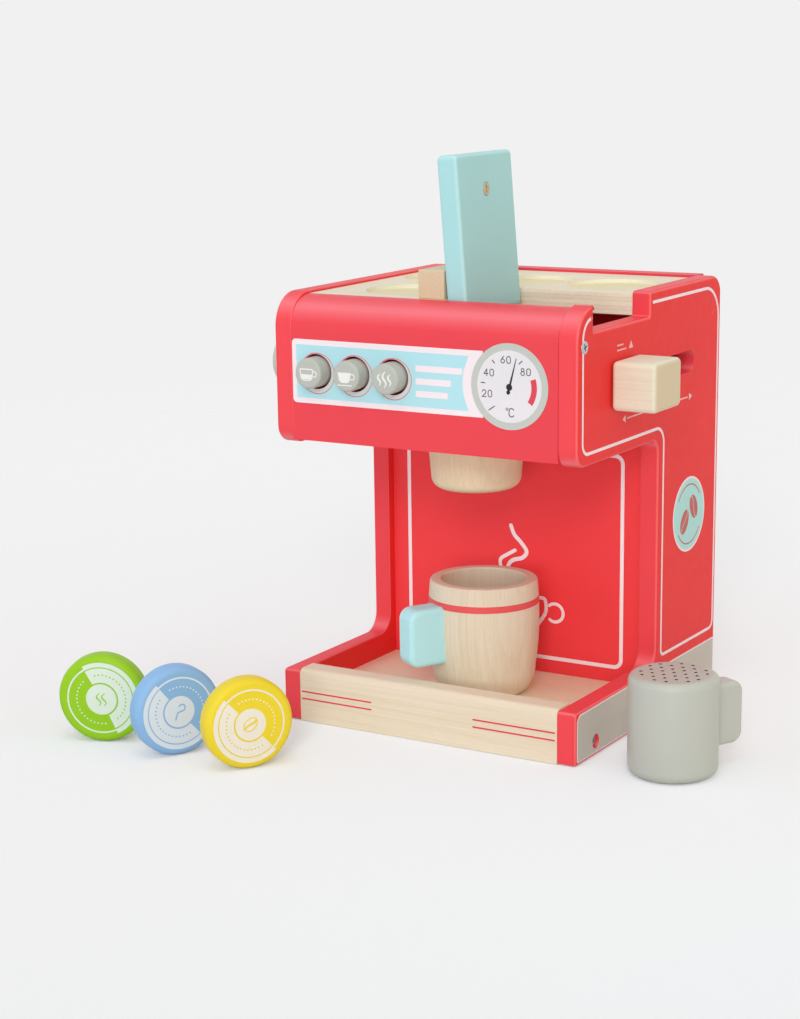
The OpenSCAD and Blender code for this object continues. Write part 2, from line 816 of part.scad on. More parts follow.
module mug_handle() {
    start = mug_r - 4;
    color("#A3CDC6") translate([mug_x, mug_y, floor_t]) difference() {
        rotate(mug_turn) translate([0, 0, mug_grip_z])
            grip(start, mug_r + mug_grip_out - start, mug_grip_h, mug_grip_t);
        rotate_extrude() polygon(concat(
            [[0, mug_foot_h]],
            [for (i = [0 : 9]) let (h = mug_foot_h + (mug_h - mug_foot_h) * i / 9) [mug_wall_r(h) + seat, h]],
            [[0, mug_h]]));
    }
}

// Staggered grid of sprinkle holes inside a circle
module sprinkle_holes() {
    reach = shaker_r - shaker_top_round - sprinkle_r;
    rows = ceil(reach / sprinkle_pitch * 2 / sqrt(3));
    for (row = [-rows : rows], column = [-rows : rows])
        let (x = (column + (row % 2 == 0 ? 0 : 0.5)) * sprinkle_pitch, y = row * sprinkle_pitch * sqrt(3) / 2)
            if (norm([x, y]) <= reach)
                translate([x, y, shaker_h - sprinkle_depth])
                    cylinder(r = sprinkle_r, h = sprinkle_depth + cut);
}

module shaker_body() {
    color("#C6C9BD") translate([shaker_x, -shaker_front, 0]) difference() {
        rotate_extrude() difference() {
            square([shaker_r, shaker_h]);
            translate([shaker_r, shaker_h]) rotate(180) corner(shaker_top_round);
            translate([shaker_r, 0]) mirror([1, 0]) corner(shaker_foot_round);
        }
        sprinkle_holes();
    }
}

module shaker_handle() {
    start = shaker_r - 4;
    color("#C6C9BD") translate([shaker_x, -shaker_front, 0]) difference() {
        rotate(shaker_turn) translate([0, 0, shaker_grip_z])
            grip(start, shaker_r + shaker_grip_out - start, shaker_grip_h, shaker_grip_t);
        cylinder(r = shaker_r + seat, h = shaker_h);
    }
}

// ---- Loose pods ----

// A pod on its edge, facing the given way from -Y
module pod(x, turn) {
    translate([x, -pod_front, pod_r]) rotate([0, 0, turn]) rotate([90, 0, 0])
        rotate_extrude() difference() {
            translate([0, -pod_t / 2]) square([pod_r, pod_t]);
            translate([pod_r, pod_t / 2]) rotate(180) corner(pod_round);
            translate([pod_r, -pod_t / 2]) mirror([1, 0]) corner(pod_round);
        }
}

module pod_green() { color("#8FCB2A") pod(green_x, green_turn); }
module pod_blue() { color("#85B5E8") pod(blue_x, blue_turn); }
module pod_yellow() { color("#F3DC2C") pod(yellow_x, yellow_turn); }

left_panel();
right_panel();
back_panel();
base_board();
front_bar();
splash_panel();
head_floor();
pod_deck();
chute_wall();
slider_rails();
rear_batten();
fascia();
tray();
stop_bar();
button_board();
button_spring_1();
button_spring_2();
button_spring_3();
nozzle();
nozzle_screw();
lid_pin();
panel_screws();
screw_plugs();
lid();
lid_screw();
slider_plate();
slider_dowel();
slider_handle();
button_1();
button_2();
button_3();
side_knob();
knob_axle();
axle_collar();
mug_body();
mug_handle();
shaker_body();
shaker_handle();
pod_green();
pod_blue();
pod_yellow();
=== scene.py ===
import math

import bmesh
import bpy
import numpy as np
from mathutils import Matrix, Vector
from mathutils.geometry import delaunay_2d_cdt


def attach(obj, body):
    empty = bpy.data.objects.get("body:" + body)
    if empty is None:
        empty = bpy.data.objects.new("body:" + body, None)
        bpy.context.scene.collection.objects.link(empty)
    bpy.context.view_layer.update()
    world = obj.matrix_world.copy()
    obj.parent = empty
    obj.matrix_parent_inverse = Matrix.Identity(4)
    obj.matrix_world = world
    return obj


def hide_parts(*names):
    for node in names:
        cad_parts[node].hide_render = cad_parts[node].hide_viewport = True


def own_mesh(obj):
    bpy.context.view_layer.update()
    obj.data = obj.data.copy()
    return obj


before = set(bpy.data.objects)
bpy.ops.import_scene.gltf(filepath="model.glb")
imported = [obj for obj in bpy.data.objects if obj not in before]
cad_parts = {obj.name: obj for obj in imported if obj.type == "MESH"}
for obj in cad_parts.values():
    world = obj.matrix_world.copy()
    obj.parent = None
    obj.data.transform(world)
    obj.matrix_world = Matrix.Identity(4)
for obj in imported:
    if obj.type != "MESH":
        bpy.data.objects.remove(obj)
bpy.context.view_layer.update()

# ---- The room ----
# A pale paper sweep under soft light: a broad window in front, a little to the right, a low screen
# under it, a ceiling light, and light from all round, warmer from the right. The camera stands in
# front, well to the right, and looks a little down. Drawings are in mm and Blender is in metres.
turn, tilt, roll = (math.radians(a) for a in (32.35, 14.09, -1.0655))
distance, aim_right, aim_up, aim_height = 1353.56, -84.23, -45.04, 120
back = Vector((math.sin(turn) * math.cos(tilt), -math.cos(turn) * math.cos(tilt), math.sin(tilt)))
right = Vector((math.cos(turn), math.sin(turn), 0))
up = back.cross(right)
spot = (right * aim_right + up * aim_up + Vector((0, 0, aim_height)) + back * distance) / 1000
camera = bpy.data.objects.new("camera", bpy.data.cameras.new("camera"))
camera.matrix_world = Matrix((
    right * math.cos(roll) + up * math.sin(roll),
    up * math.cos(roll) - right * math.sin(roll),
    back,
)).transposed().to_4x4()
camera.location = spot
camera.data.lens, camera.data.sensor_width = 77.60, 36
camera.data.shift_x, camera.data.shift_y = 0.0319, 0.0777
camera.data.clip_start, camera.data.clip_end = 0.05, 50
bpy.context.scene.collection.objects.link(camera)
bpy.context.scene.camera = camera
bpy.context.scene.view_settings.view_transform = "Standard"


def tint(code):
    """A colour written as on screen, in the linear values that a shader takes."""
    parts = [int(code[i:i + 2], 16) / 255 for i in (1, 3, 5)]
    return (*[p / 12.92 if p <= 0.04045 else ((p + 0.055) / 1.055) ** 2.4 for p in parts], 1)


def feed(tree, made, *inputs):
    """Gives a node its inputs as (name or number, value), where a node stands for its first output."""
    for key, value in inputs:
        if isinstance(value, bpy.types.Node):
            value = value.outputs[0]
        if isinstance(value, bpy.types.NodeSocket):
            tree.links.new(value, made.inputs[key])
        else:
            made.inputs[key].default_value = value
    return made


def node(tree, kind, *inputs, **settings):
    """A new node with its settings and its inputs."""
    made = tree.nodes.new("ShaderNode" + kind)
    for key, value in settings.items():
        setattr(made, key, value)
    return feed(tree, made, *inputs)


def maths(tree, operation, *values, clamp=False):
    """The result of a sum with one, two or three values."""
    return node(tree, "Math", *enumerate(values), operation=operation, use_clamp=clamp)


def ramp(tree, value, low, high, first=0.0, last=1.0):
    """A value spread out, so that low becomes first and high becomes last."""
    return node(tree, "MapRange", (0, value), (1, low), (2, high), (3, first), (4, last))


def blend(tree, share, first, second):
    """A colour that lies some share of the way from the first to the second."""
    return node(tree, "Mix", (0, share), (6, first), (7, second), data_type="RGBA").outputs[2]


paper_white, lamp_white = "#F1F1F1", "#FAFEFF"
for name, power, spread, heading, code in (
    ("window", 0.64, 17, (0.45, -1, 0.55), lamp_white),
    ("low_screen", 0.45, 16, (0.35, -1, 0.08), lamp_white),
    ("ceiling", 0.3, 26, (0.1, -0.3, 1), "#FFFFFF"),
):
    lamp = bpy.data.objects.new(name, bpy.data.lights.new(name, "SUN"))
    lamp.data.energy, lamp.data.angle, lamp.data.color = power, math.radians(spread), tint(code)[:3]
    lamp.rotation_euler = Vector(heading).to_track_quat("Z", "Y").to_euler()
    bpy.context.scene.collection.objects.link(lamp)


def direct(tree):
    """One for rays that look at a thing straight, in a mirror or through glass, or else nought."""
    ray = node(tree, "LightPath").outputs
    seen = maths(tree, "ADD", ray["Is Camera Ray"], ray["Is Glossy Ray"])
    return maths(tree, "ADD", seen, ray["Is Transmission Ray"], clamp=True)


left_sky, right_sky, sky_power = (0.97, 1.01, 1.18, 1), (1.04, 0.96, 0.78, 1), 0.71
world = bpy.data.worlds.new("room")
world.use_nodes = True
tree = world.node_tree
tree.nodes.clear()
way = node(tree, "SeparateXYZ", (0, node(tree, "TexCoord").outputs["Generated"]))
sky = blend(tree, ramp(tree, way, -1.0, 1.0), left_sky, right_sky)
sky = node(tree, "Background", ("Color", sky), ("Strength", sky_power))
paper = node(tree, "Background", ("Color", tint(paper_white)), ("Strength", 1.0))
mixed = node(tree, "MixShader", (0, direct(tree)), (1, sky), (2, paper))
node(tree, "OutputWorld", (0, mixed))
bpy.context.scene.world = world

# The sweep is a round sheet that thins out to the background far from the toy. It is partly lit
# from within, most of all behind the toy, so that the shadows there stay faint.
sweep_r, sweep_z, sweep_corners = 3, -0.0002, 40
thin_from, thin_to = 0.7, 1.6
shade_y, shade_share = (-0.1, 0.04), (0.9, 0.4)
sweep = bpy.data.meshes.new("sweep")
angles = [2 * math.pi * k / sweep_corners for k in range(sweep_corners)]
sweep.from_pydata([(sweep_r * math.cos(a), sweep_r * math.sin(a), sweep_z) for a in angles],
                  [], [list(range(sweep_corners))])
sweep = bpy.data.objects.new("sweep", sweep)
bpy.context.scene.collection.objects.link(sweep)
sheet = bpy.data.materials.new("sweep_paper")
sheet.use_nodes = True
tree = sheet.node_tree
tree.nodes.clear()
at = node(tree, "TexCoord").outputs["Object"]
far = node(tree, "VectorMath", (0, at), operation="LENGTH").outputs["Value"]
far = node(tree, "MapRange", (0, far), (1, thin_from), (2, thin_to), interpolation_type="SMOOTHSTEP")
dull = node(tree, "BsdfDiffuse", ("Color", tint(paper_white)), ("Roughness", 1.0))
shaded = node(tree, "BsdfDiffuse", ("Color", tint("#EFF1F3")), ("Roughness", 1.0))
glow = node(tree, "Emission", ("Color", tint(paper_white)), ("Strength", 1.0))
near = ramp(tree, node(tree, "SeparateXYZ", (0, at)).outputs[1], *shade_y, *shade_share)
lit = node(tree, "MixShader", (0, near), (1, glow), (2, shaded))
lit = node(tree, "MixShader", (0, direct(tree)), (1, dull), (2, lit))
thinned = node(tree, "MixShader", (0, far), (1, lit), (2, node(tree, "BsdfTransparent")))
node(tree, "OutputMaterial", (0, thinned))
sweep.data.materials.append(sheet)


# ---- Side panels ----
# Each side is one C-shaped board of 12 mm fibreboard: lower arm, column and head. The edges are
# rounded over with a cutter and the whole board is sprayed with satin red. The right one has a
# notch at the top, where a pod goes in, and a long slot for the slider's dowel.


def path(corners, closed=True, step=6):
    """Points (in mm) along straight lines whose corners (x, y, radius) are rounded."""
    points = []
    for i, (x, y, r) in enumerate(corners):
        here = Vector((x, y))
        if r == 0 or (not closed and i in (0, len(corners) - 1)):
            points.append(here)
            continue
        back_way = (Vector(corners[i - 1][:2]) - here).normalized()
        on_way = (Vector(corners[(i + 1) % len(corners)][:2]) - here).normalized()
        half = back_way.angle(on_way) / 2
        middle = here + (back_way + on_way).normalized() * (r / math.sin(half))
        start = here + back_way * (r / math.tan(half)) - middle
        end = here + on_way * (r / math.tan(half)) - middle
        first = math.atan2(start.y, start.x)
        sweep_by = (math.atan2(end.y, end.x) - first + math.pi) % (2 * math.pi) - math.pi
        count = max(2, math.ceil(abs(sweep_by) / math.radians(step)))
        for k in range(count + 1):
            a = first + sweep_by * k / count
            points.append(middle + Vector((math.cos(a), math.sin(a))) * r)
    return points


def rectangle(start, end, low, high, r, step=6):
    """Points (in mm) round a rectangle with rounded corners."""
    return path([(start, low, r), (end, low, r), (end, high, r), (start, high, r)], step=step)


def circle(x, y, r, count=48):
    """Points (in mm) round a circle."""
    return [Vector((x + r * math.cos(2 * math.pi * k / count), y + r * math.sin(2 * math.pi * k / count)))
            for k in range(count)]


def turned_way(loop, left):
    """The loop, running anticlockwise if left is true, or else clockwise."""
    area = sum(a.x * b.y - b.x * a.y for a, b in zip(loop, loop[1:] + loop[:1]))
    return loop if (area > 0) == left else loop[::-1]


def flat_fill(corners, sizes):
    """Triangles that fill the first of some loops and leave out the others, which are holes in it."""
    edges, start = [], 0
    for size in sizes:
        edges += [(start + i, start + (i + 1) % size) for i in range(size)]
        start += size
    spread, _, triangles, known, _, _ = delaunay_2d_cdt(
        [Vector(p[:2]) for p in corners], edges, [], 0, 1e-5)
    middle = np.array([sum((spread[i] for i in tri), Vector((0, 0))) / 3 for tri in triangles])[:, None]
    a, b = (np.array([corners[edge[k]][:2] for edge in edges]) for k in (0, 1))
    rise = np.where(a[:, 1] == b[:, 1], 1.0, b[:, 1] - a[:, 1])
    passed = (a[:, 1] > middle[..., 1]) != (b[:, 1] > middle[..., 1])
    beside = middle[..., 0] < a[:, 0] + (middle[..., 1] - a[:, 1]) * (b[:, 0] - a[:, 0]) / rise
    inside = (passed & beside).sum(axis=1) % 2
    return spread, [tri for tri, within in zip(triangles, inside) if within], known


def board(shapes, low, high, ease=0.0, rim=0.0, turns=4, ease_low=None):
    """Flat solids cut to outlines [outline, hole, ...], from low to high, with rounded edges.

    Returns points, faces and the direction that each corner of each face is shaded in.
    """
    points, faces, shading = [], [], []
    for shape in shapes:
        lower, upper = [], []
        for k, loop in enumerate(shape):
            loop = turned_way([Vector(p) for p in loop], k == 0)
            count = len(loop)
            r_low, r_high = (rim, rim) if k else (ease if ease_low is None else ease_low, ease)
            out = []
            for a, b in zip(loop, loop[1:] + loop[:1]):
                d = (b - a).normalized()
                out.append(Vector((d.y, -d.x)))
            miter = [(out[i - 1] + out[i]) / max(0.2, 1 + out[i - 1].dot(out[i])) for i in range(count)]
            steps = [math.pi / 2 * s / turns for s in range(turns + 1)]
            rows = [(r_low * (1 - math.sin(a)), low + r_low * (1 - math.cos(a)), a, -1)
                    for a in (steps if r_low else steps[-1:])]
            rows += [(r_high * (1 - math.sin(a)), high - r_high * (1 - math.cos(a)), a, 1)
                     for a in (steps[::-1] if r_high else steps[-1:])]
            first = len(points)
            for inset, height, _, _ in rows:
                points += [(*(loop[i] - miter[i] * inset), height) for i in range(count)]
            soft = [out[i - 1].dot(out[i]) > 0.8 for i in range(count)]
            for s in range(len(rows) - 1):
                for i in range(count):
                    j = (i + 1) % count
                    faces.append((first + s * count + i, first + s * count + j,
                                  first + (s + 1) * count + j, first + (s + 1) * count + i))
                    for row, at in ((s, i), (s, j), (s + 1, j), (s + 1, i)):
                        way = (out[at - 1] + out[at]).normalized() if soft[at] else out[i]
                        a, side = rows[row][2:]
                        shading.append((*(way * math.sin(a)), side * math.cos(a)))
            lower += range(first, first + count)
            upper += range(first + (len(rows) - 1) * count, first + len(rows) * count)
        for ring, level, side in ((lower, low, -1), (upper, high, 1)):
            sizes = [len(loop) for loop in shape]
            spread, triangles, known = flat_fill([points[i] for i in ring], sizes)
            at = []
            for i, p in enumerate(spread):
                if not known[i]:
                    points.append((p.x, p.y, level))
                at.append(ring[known[i][0]] if known[i] else len(points) - 1)
            for tri in triangles:
                a, b, c = (spread[i] for i in tri)
                tri = tri if ((b - a).cross(c - a) > 0) == (side > 0) else tri[::-1]
                faces.append(tuple(at[i] for i in tri))
                shading += [(0, 0, side)] * 3
    return points, faces, shading


def piece(name, place, finish, *parts):
    """An object made of parts drawn in mm, set in its place."""
    points, faces, shading = [], [], []
    for more_points, more_faces, more_shading in parts:
        faces += [tuple(i + len(points) for i in face) for face in more_faces]
        points += more_points
        shading += more_shading
    mesh = bpy.data.meshes.new(name)
    mesh.from_pydata([Vector(p) / 1000 for p in points], [], faces)
    mesh.polygons.foreach_set("use_smooth", [True] * len(faces))
    mesh.normals_split_custom_set([Vector(n).normalized() for n in shading])
    mesh.materials.append(finish)
    made = bpy.data.objects.new(name, mesh)
    made.matrix_world = place
    bpy.context.scene.collection.objects.link(made)
    return made


def facing(u, v, x=0.0, y=0.0, z=0.0):
    """The place of a drawing whose right is u and whose top is v, with its origin at x, y, z in mm."""
    u, v = Vector(u).normalized(), Vector(v).normalized()
    made = Matrix((u, v, u.cross(v))).transposed().to_4x4()
    made.translation = Vector((x, y, z)) / 1000
    return made


def to_right(x, y=0.0, z=0.0):
    """The place of a drawing that is looked at from the toy's right."""
    return facing((0, 1, 0), (0, 0, 1), x, y, z)


def to_left(x, y=0.0, z=0.0):
    """The place of a drawing that is looked at from the toy's left."""
    return facing((0, -1, 0), (0, 0, 1), x, y, z)


def blank(name):
    """A new finish, with its tree and its shader."""
    made = bpy.data.materials.new(name)
    made.use_nodes = True
    return made, made.node_tree, made.node_tree.nodes["Principled BSDF"]


def noise(tree, place, scale, detail):
    """A cloudy pattern, and a finer one for a larger scale."""
    return node(tree, "TexNoise", (0, place), ("Scale", scale), ("Detail", detail))


def paint(name, code, rough=0.4, peel=0.00003, shade=0.03, seed=0.0, sheen=0.22,
          painted_highlight=None, cut=None, highlight_share=0.5):
    """Sprayed satin paint: fine orange peel, slow changes of tone and a faint unevenness of gloss.

    On rounded edges a paler colour is mixed in by a given share: a painted highlight along the
    arrises. The cut edges of a board, across its own Z, take the colour cut: painted light that makes
    them paler than the broad faces, for the light falling on the front and top edges.
    """
    made, tree, shader = blank(name)
    coords = node(tree, "TexCoord").outputs
    place = node(tree, "Mapping", (0, coords["Object"]), (1, (seed, seed, seed)))
    slow, wavy, fine = (noise(tree, place, *values) for values in ((14.0, 3.0), (160.0, 2.0), (750.0, 2.0)))
    way = node(tree, "VectorMath", (0, coords["Normal"]), operation="ABSOLUTE")
    way = node(tree, "SeparateXYZ", (0, way)).outputs
    # Painted light: faces across the board's Z take the paler colour cut.
    colour = blend(tree, ramp(tree, way[2], 0.4, 0.1), tint(code), tint(cut or code))
    tone = ramp(tree, slow, 0.3, 0.7, 1 - shade, 1 + shade)
    colour = node(tree, "VectorMath", (0, colour), ("Scale", tone), operation="SCALE")
    # Painted highlight: a paler colour is mixed in where the normal leans between axes, on rounded edges.
    if painted_highlight:
        most = maths(tree, "MAXIMUM", maths(tree, "MAXIMUM", way[0], way[1]), way[2])
        colour = blend(tree, ramp(tree, most, 0.97, 0.75, 0.0, highlight_share), colour, tint(painted_highlight))
    height = maths(tree, "ADD", wavy, fine)
    bump = node(tree, "Bump", ("Height", height), ("Distance", peel), ("Strength", 1.0))
    gloss = ramp(tree, wavy, 0.3, 0.7, rough - 0.03, rough + 0.05)
    feed(tree, shader, ("Base Color", colour), ("Roughness", gloss), ("Specular IOR Level", sheen),
         ("Normal", bump))
    return made


def fit(made, body, slot, *nodes):
    """Ties a piece to its body and hides the solids that it stands for. The slot is not used."""
    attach(made, body)
    if nodes:
        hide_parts(*nodes)
    return made


half_width, board_t, front_y, back_y, top_z = 100, 12, -97.5, 97.5, 261
arm_top, column_y, head_low = 32, 9, 172
notch_front, notch_rear, notch_z = -77.5, -4.5, 246.6
front_screw, arm_screw, rear_screw, screw_r = (-88.8, 239.1), (-72, 9), (81.83, 241.88), 4.05
dowel_y, slot_z, slide, slot_half, slot_round = -39.45, 213.4, 91.25, 6.6, 6.59
# The side red takes a paler pink on its cut edges, painted light for the front and top, and a painted highlight
# on its rounded edges.
red = paint("satin_red", "#F23736", sheen=0.12, painted_highlight="#FF929A", cut="#F34D56")
side_lower = [(front_y, arm_top, 2.5), (column_y, arm_top, 12), (column_y, head_low, 7),
              (front_y, head_low, 10.5), (front_y, top_z, 20)]
notch = [(notch_front, top_z, 0), (notch_front, notch_z, 0.8), (notch_rear, notch_z, 0.8),
         (notch_rear, top_z, 2.4)]
side_back = [(back_y, top_z, 11), (back_y, 0, 2.4), (front_y, 0, 2.4)]
screw_holes = [circle(*at, screw_r) for at in (front_screw, arm_screw, rear_screw)]
slot_hole = rectangle(dowel_y - slot_half, dowel_y + slide + slot_half,
                      slot_z - slot_half, slot_z + slot_half, slot_round)
right_shape = [path(side_lower + notch + side_back), *screw_holes, slot_hole]
left_shape = [[Vector((-p.x, p.y)) for p in loop] for loop in (path(side_lower + side_back), *screw_holes)]
inner_x = half_width - board_t
for side, place, shape in (("right", to_right(inner_x), right_shape), ("left", to_left(-inner_x), left_shape)):
    fit(piece(side + "_side", place, red, board([shape], 0, board_t, ease=2.4, ease_low=0.9, rim=0.25)),
        "cabinet", "red_paint", side + "_panel")

# ---- Printing on the side panels ----
# A pale pinstripe runs round each side, and a grey band with a pale edge crosses its foot. The
# right side also has a round badge of coffee beans and arrows for the lid and the slider. All of it
# is screen-printed on the paint.


def offset(line, by, closed):
    """A line moved sideways to its left."""
    count, moved = len(line), []
    for i, p in enumerate(line):
        before = (p - line[i - 1]) if closed or i else (line[1] - line[0])
        after = (line[(i + 1) % count] - p) if closed or i < count - 1 else (p - line[i - 1])
        a, b = (Vector((-d.y, d.x)).normalized() for d in (before, after))
        moved.append(p + (a + b) * (by / max(0.2, 1 + a.dot(b))))
    return moved


def stroke(line, width, closed=False):
    """The outline of a drawn line with round ends."""
    line = [Vector(p) for p in line]
    a, b = offset(line, width / 2, closed), offset(line, -width / 2, closed)
    if closed:
        area_a, area_b = (abs(sum(p.x * q.y - q.x * p.y for p, q in zip(loop, loop[1:] + loop[:1])))
                          for loop in (a, b))
        return [a, b] if area_a > area_b else [b, a]
    caps = []
    for end, near, out in ((line[-1], a[-1], line[-1] - line[-2]), (line[0], b[0], line[0] - line[1])):
        side, out = near - end, out.normalized() * (width / 2)
        caps.append([end + side * math.cos(t) + out * math.sin(t)
                     for t in (math.pi * k / 8 for k in range(1, 8))])
    return [a + caps[0] + b[::-1] + caps[1]]


def arc(x, y, r, start, end, step=8):
    """Points along an arc between two angles in degrees."""
    count = max(2, math.ceil(abs(end - start) / step))
    return [Vector((x + r * math.cos(math.radians(start + (end - start) * k / count)),
                    y + r * math.sin(math.radians(start + (end - start) * k / count))))
            for k in range(count + 1)]


def printed(name, place, colour, shapes, level=0, body="cabinet", layer=0.06, hair=0.004, sunk=0.05):
    """Screen-printed ink, one layer thick for each level, and each shape a hair above the last."""
    made = piece(name, place, colour, *[board([shape], -sunk, layer * (level + 1) + hair * (i % 8))
                                        for i, shape in enumerate(shapes)])
    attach(made, body)
    return made


def ink(name, code, rough=0.5):
    """Printing ink: slightly uneven in cover, duller than the paint under it."""
    return paint(name, code, rough=rough, peel=0.00001, shade=0.03, seed=3.0)


pale_ink = ink("pale_ink", "#F7EBF0")
right_face, left_face = to_right(half_width), to_left(-half_width)
stripe_w, stripe_front, stripe_rear = 1.8, -90.9, 93.2
lower_stripe = [(stripe_front, 179.4, 6.5), (16, 179.4, 10), (16, 38.4, 4), (stripe_rear, 38.4, 5)]
right_stripe = path([(-81, 254.4, 0), (stripe_front, 254.4, 11), *lower_stripe,
                     (stripe_rear, 254.6, 19), (-1, 254.6, 0)], closed=False)
left_stripe = [Vector((-p.x, p.y)) for p in path(
    [(stripe_front, 254.5, 13), *lower_stripe, (stripe_rear, 254.5, 19)])]
printed("right_pinstripe", right_face, pale_ink, [stroke(right_stripe, stripe_w)])
printed("left_pinstripe", left_face, pale_ink, [stroke(left_stripe, stripe_w, closed=True)])

grey_ink, line_ink = ink("grey_ink", "#CBC7BC"), ink("line_ink", "#C9C7B9")
band_outline = [(-95.7, 2.0, 1.5), (95.7, 2.0, 1.5), (95.7, 31.2, 1.5), (10, 31.2, 0), (-95.7, 30.3, 5)]
band_field = [(-94.9, 2.7, 1), (94.9, 2.7, 1), (94.9, 30.4, 1), (10, 30.4, 0), (-94.9, 29.5, 4.4)]
for side, place, flip in (("right", right_face, 1), ("left", left_face, -1)):
    hole = circle(arm_screw[0] * flip, arm_screw[1], screw_r + 0.35)
    band = [[Vector((p.x * flip, p.y)) for p in path(corners)] for corners in (band_outline, band_field)]
    printed(side + "_band_edge", place, pale_ink, [[band[0], hole]])
    printed(side + "_band", place, grey_ink, [[band[1], hole]], level=1)
    lines = [stroke([(-92.5 * flip, z), (92.5 * flip, z)], 0.5) for z in (13.9, 16.7)]
    printed(side + "_band_lines", place, line_ink, lines, level=2)

badge_y, badge_z, badge_r, badge_rim, badge_line_r = 54.2, 119.0, 23.3, 1.3, 18.5
printed("badge_border", right_face, pale_ink, [[circle(badge_y, badge_z, badge_r, 72)]])
printed("badge_field", right_face, ink("badge_blue", "#B6E6E3"),
        [[circle(badge_y, badge_z, badge_r - badge_rim, 72)]], level=1)


def bean(x, y, long, wide, lean):
    """A coffee bean: an oval in two halves, parted by a wavy crease."""
    halves = []
    ca, sa = math.cos(math.radians(lean)), math.sin(math.radians(lean))
    for side in (1, -1):
        rim = [Vector((long * math.cos(t), side * wide * math.sin(t)))
               for t in (math.pi * k / 20 for k in range(1, 20))]
        crease = [Vector((-long * 0.93 * math.cos(t), side * 0.35 + wide * 0.22 * math.sin(2 * t)))
                  for t in (math.pi * k / 14 for k in range(1, 14))]
        halves.append([[Vector((x + p.x * ca - p.y * sa, y + p.x * sa + p.y * ca)) for p in rim + crease]])
    return halves


beans = bean(badge_y - 6.5, badge_z - 4, 8.2, 5.2, 58) + bean(badge_y + 6.8, badge_z + 3.5, 8.2, 5.2, 118)
badge_red = ink("badge_red", "#C96A66")
printed("badge_beans", right_face, badge_red, beans, level=2)
printed("badge_lines", right_face, badge_red,
        [stroke(arc(badge_y, badge_z, badge_line_r, start, start + 110), 0.8) for start in (215, 35)], level=2)
arrows = [
    [[(-33.2, 231.9), (-27.8, 231.9), (-30.5, 236.2)]],
    stroke([(-48, 232.4), (-37, 232.4)], 0.8),
    stroke([(-48, 235.2), (-41, 235.2)], 0.8),
    [[(-36.5, 189.8), (-36.5, 194.2), (-40.6, 192)]],
    stroke([(-34, 192), (49, 192)], 0.8),
    [[(51.5, 189.8), (51.5, 194.2), (55.6, 192)]],
]
printed("side_arrows", right_face, ink("arrow_ink", "#EFC9C4"), arrows)

# ---- Back panel, base board and front bar ----
# The back is a sprayed board with an opening at its foot, where dropped pods are taken out. The
# base board and the bar across its front are bare, lightly waxed wood, glued and screwed between
# the sides. Two pairs of red lines are printed on the bar.


def eased(name, solid, width, finish, fine=None, fine_width=0.3, clamp=True):
    """A copy of a solid with its corners rounded over, and those that fine(middle, in mm) picks
    only broken. Clamp keeps the rounding from running past the end of a short edge."""
    body = bmesh.new()
    body.from_mesh(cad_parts[solid].data)
    bmesh.ops.remove_doubles(body, verts=body.verts, dist=3e-6)
    bmesh.ops.dissolve_limit(body, angle_limit=math.radians(0.3), verts=body.verts, edges=body.edges)
    weights = []
    for edge in body.edges:
        corner = len(edge.link_faces) == 2 and edge.calc_face_angle() > math.radians(35)
        edge.smooth = not corner or edge.is_convex
        middle = (edge.verts[0].co + edge.verts[1].co) * 500
        narrow = fine is not None and fine(middle)
        weights.append(0.0 if not (corner and edge.is_convex) else fine_width / width if narrow else 1.0)
    for face in body.faces:
        face.smooth = True
    mesh = bpy.data.meshes.new(name)
    body.to_mesh(mesh)
    body.free()
    mesh.attributes.new("bevel_weight_edge", "FLOAT", "EDGE").data.foreach_set("value", weights)
    mesh.materials.clear()
    mesh.materials.append(finish)
    made = bpy.data.objects.new(name, mesh)
    bpy.context.scene.collection.objects.link(made)
    cutter = made.modifiers.new("round_over", "BEVEL")
    cutter.width, cutter.segments, cutter.limit_method = width / 1000, 3, "WEIGHT"
    cutter.loop_slide, cutter.use_clamp_overlap = False, clamp
    made.modifiers.new("even_light", "WEIGHTED_NORMAL").keep_sharp = True
    return made


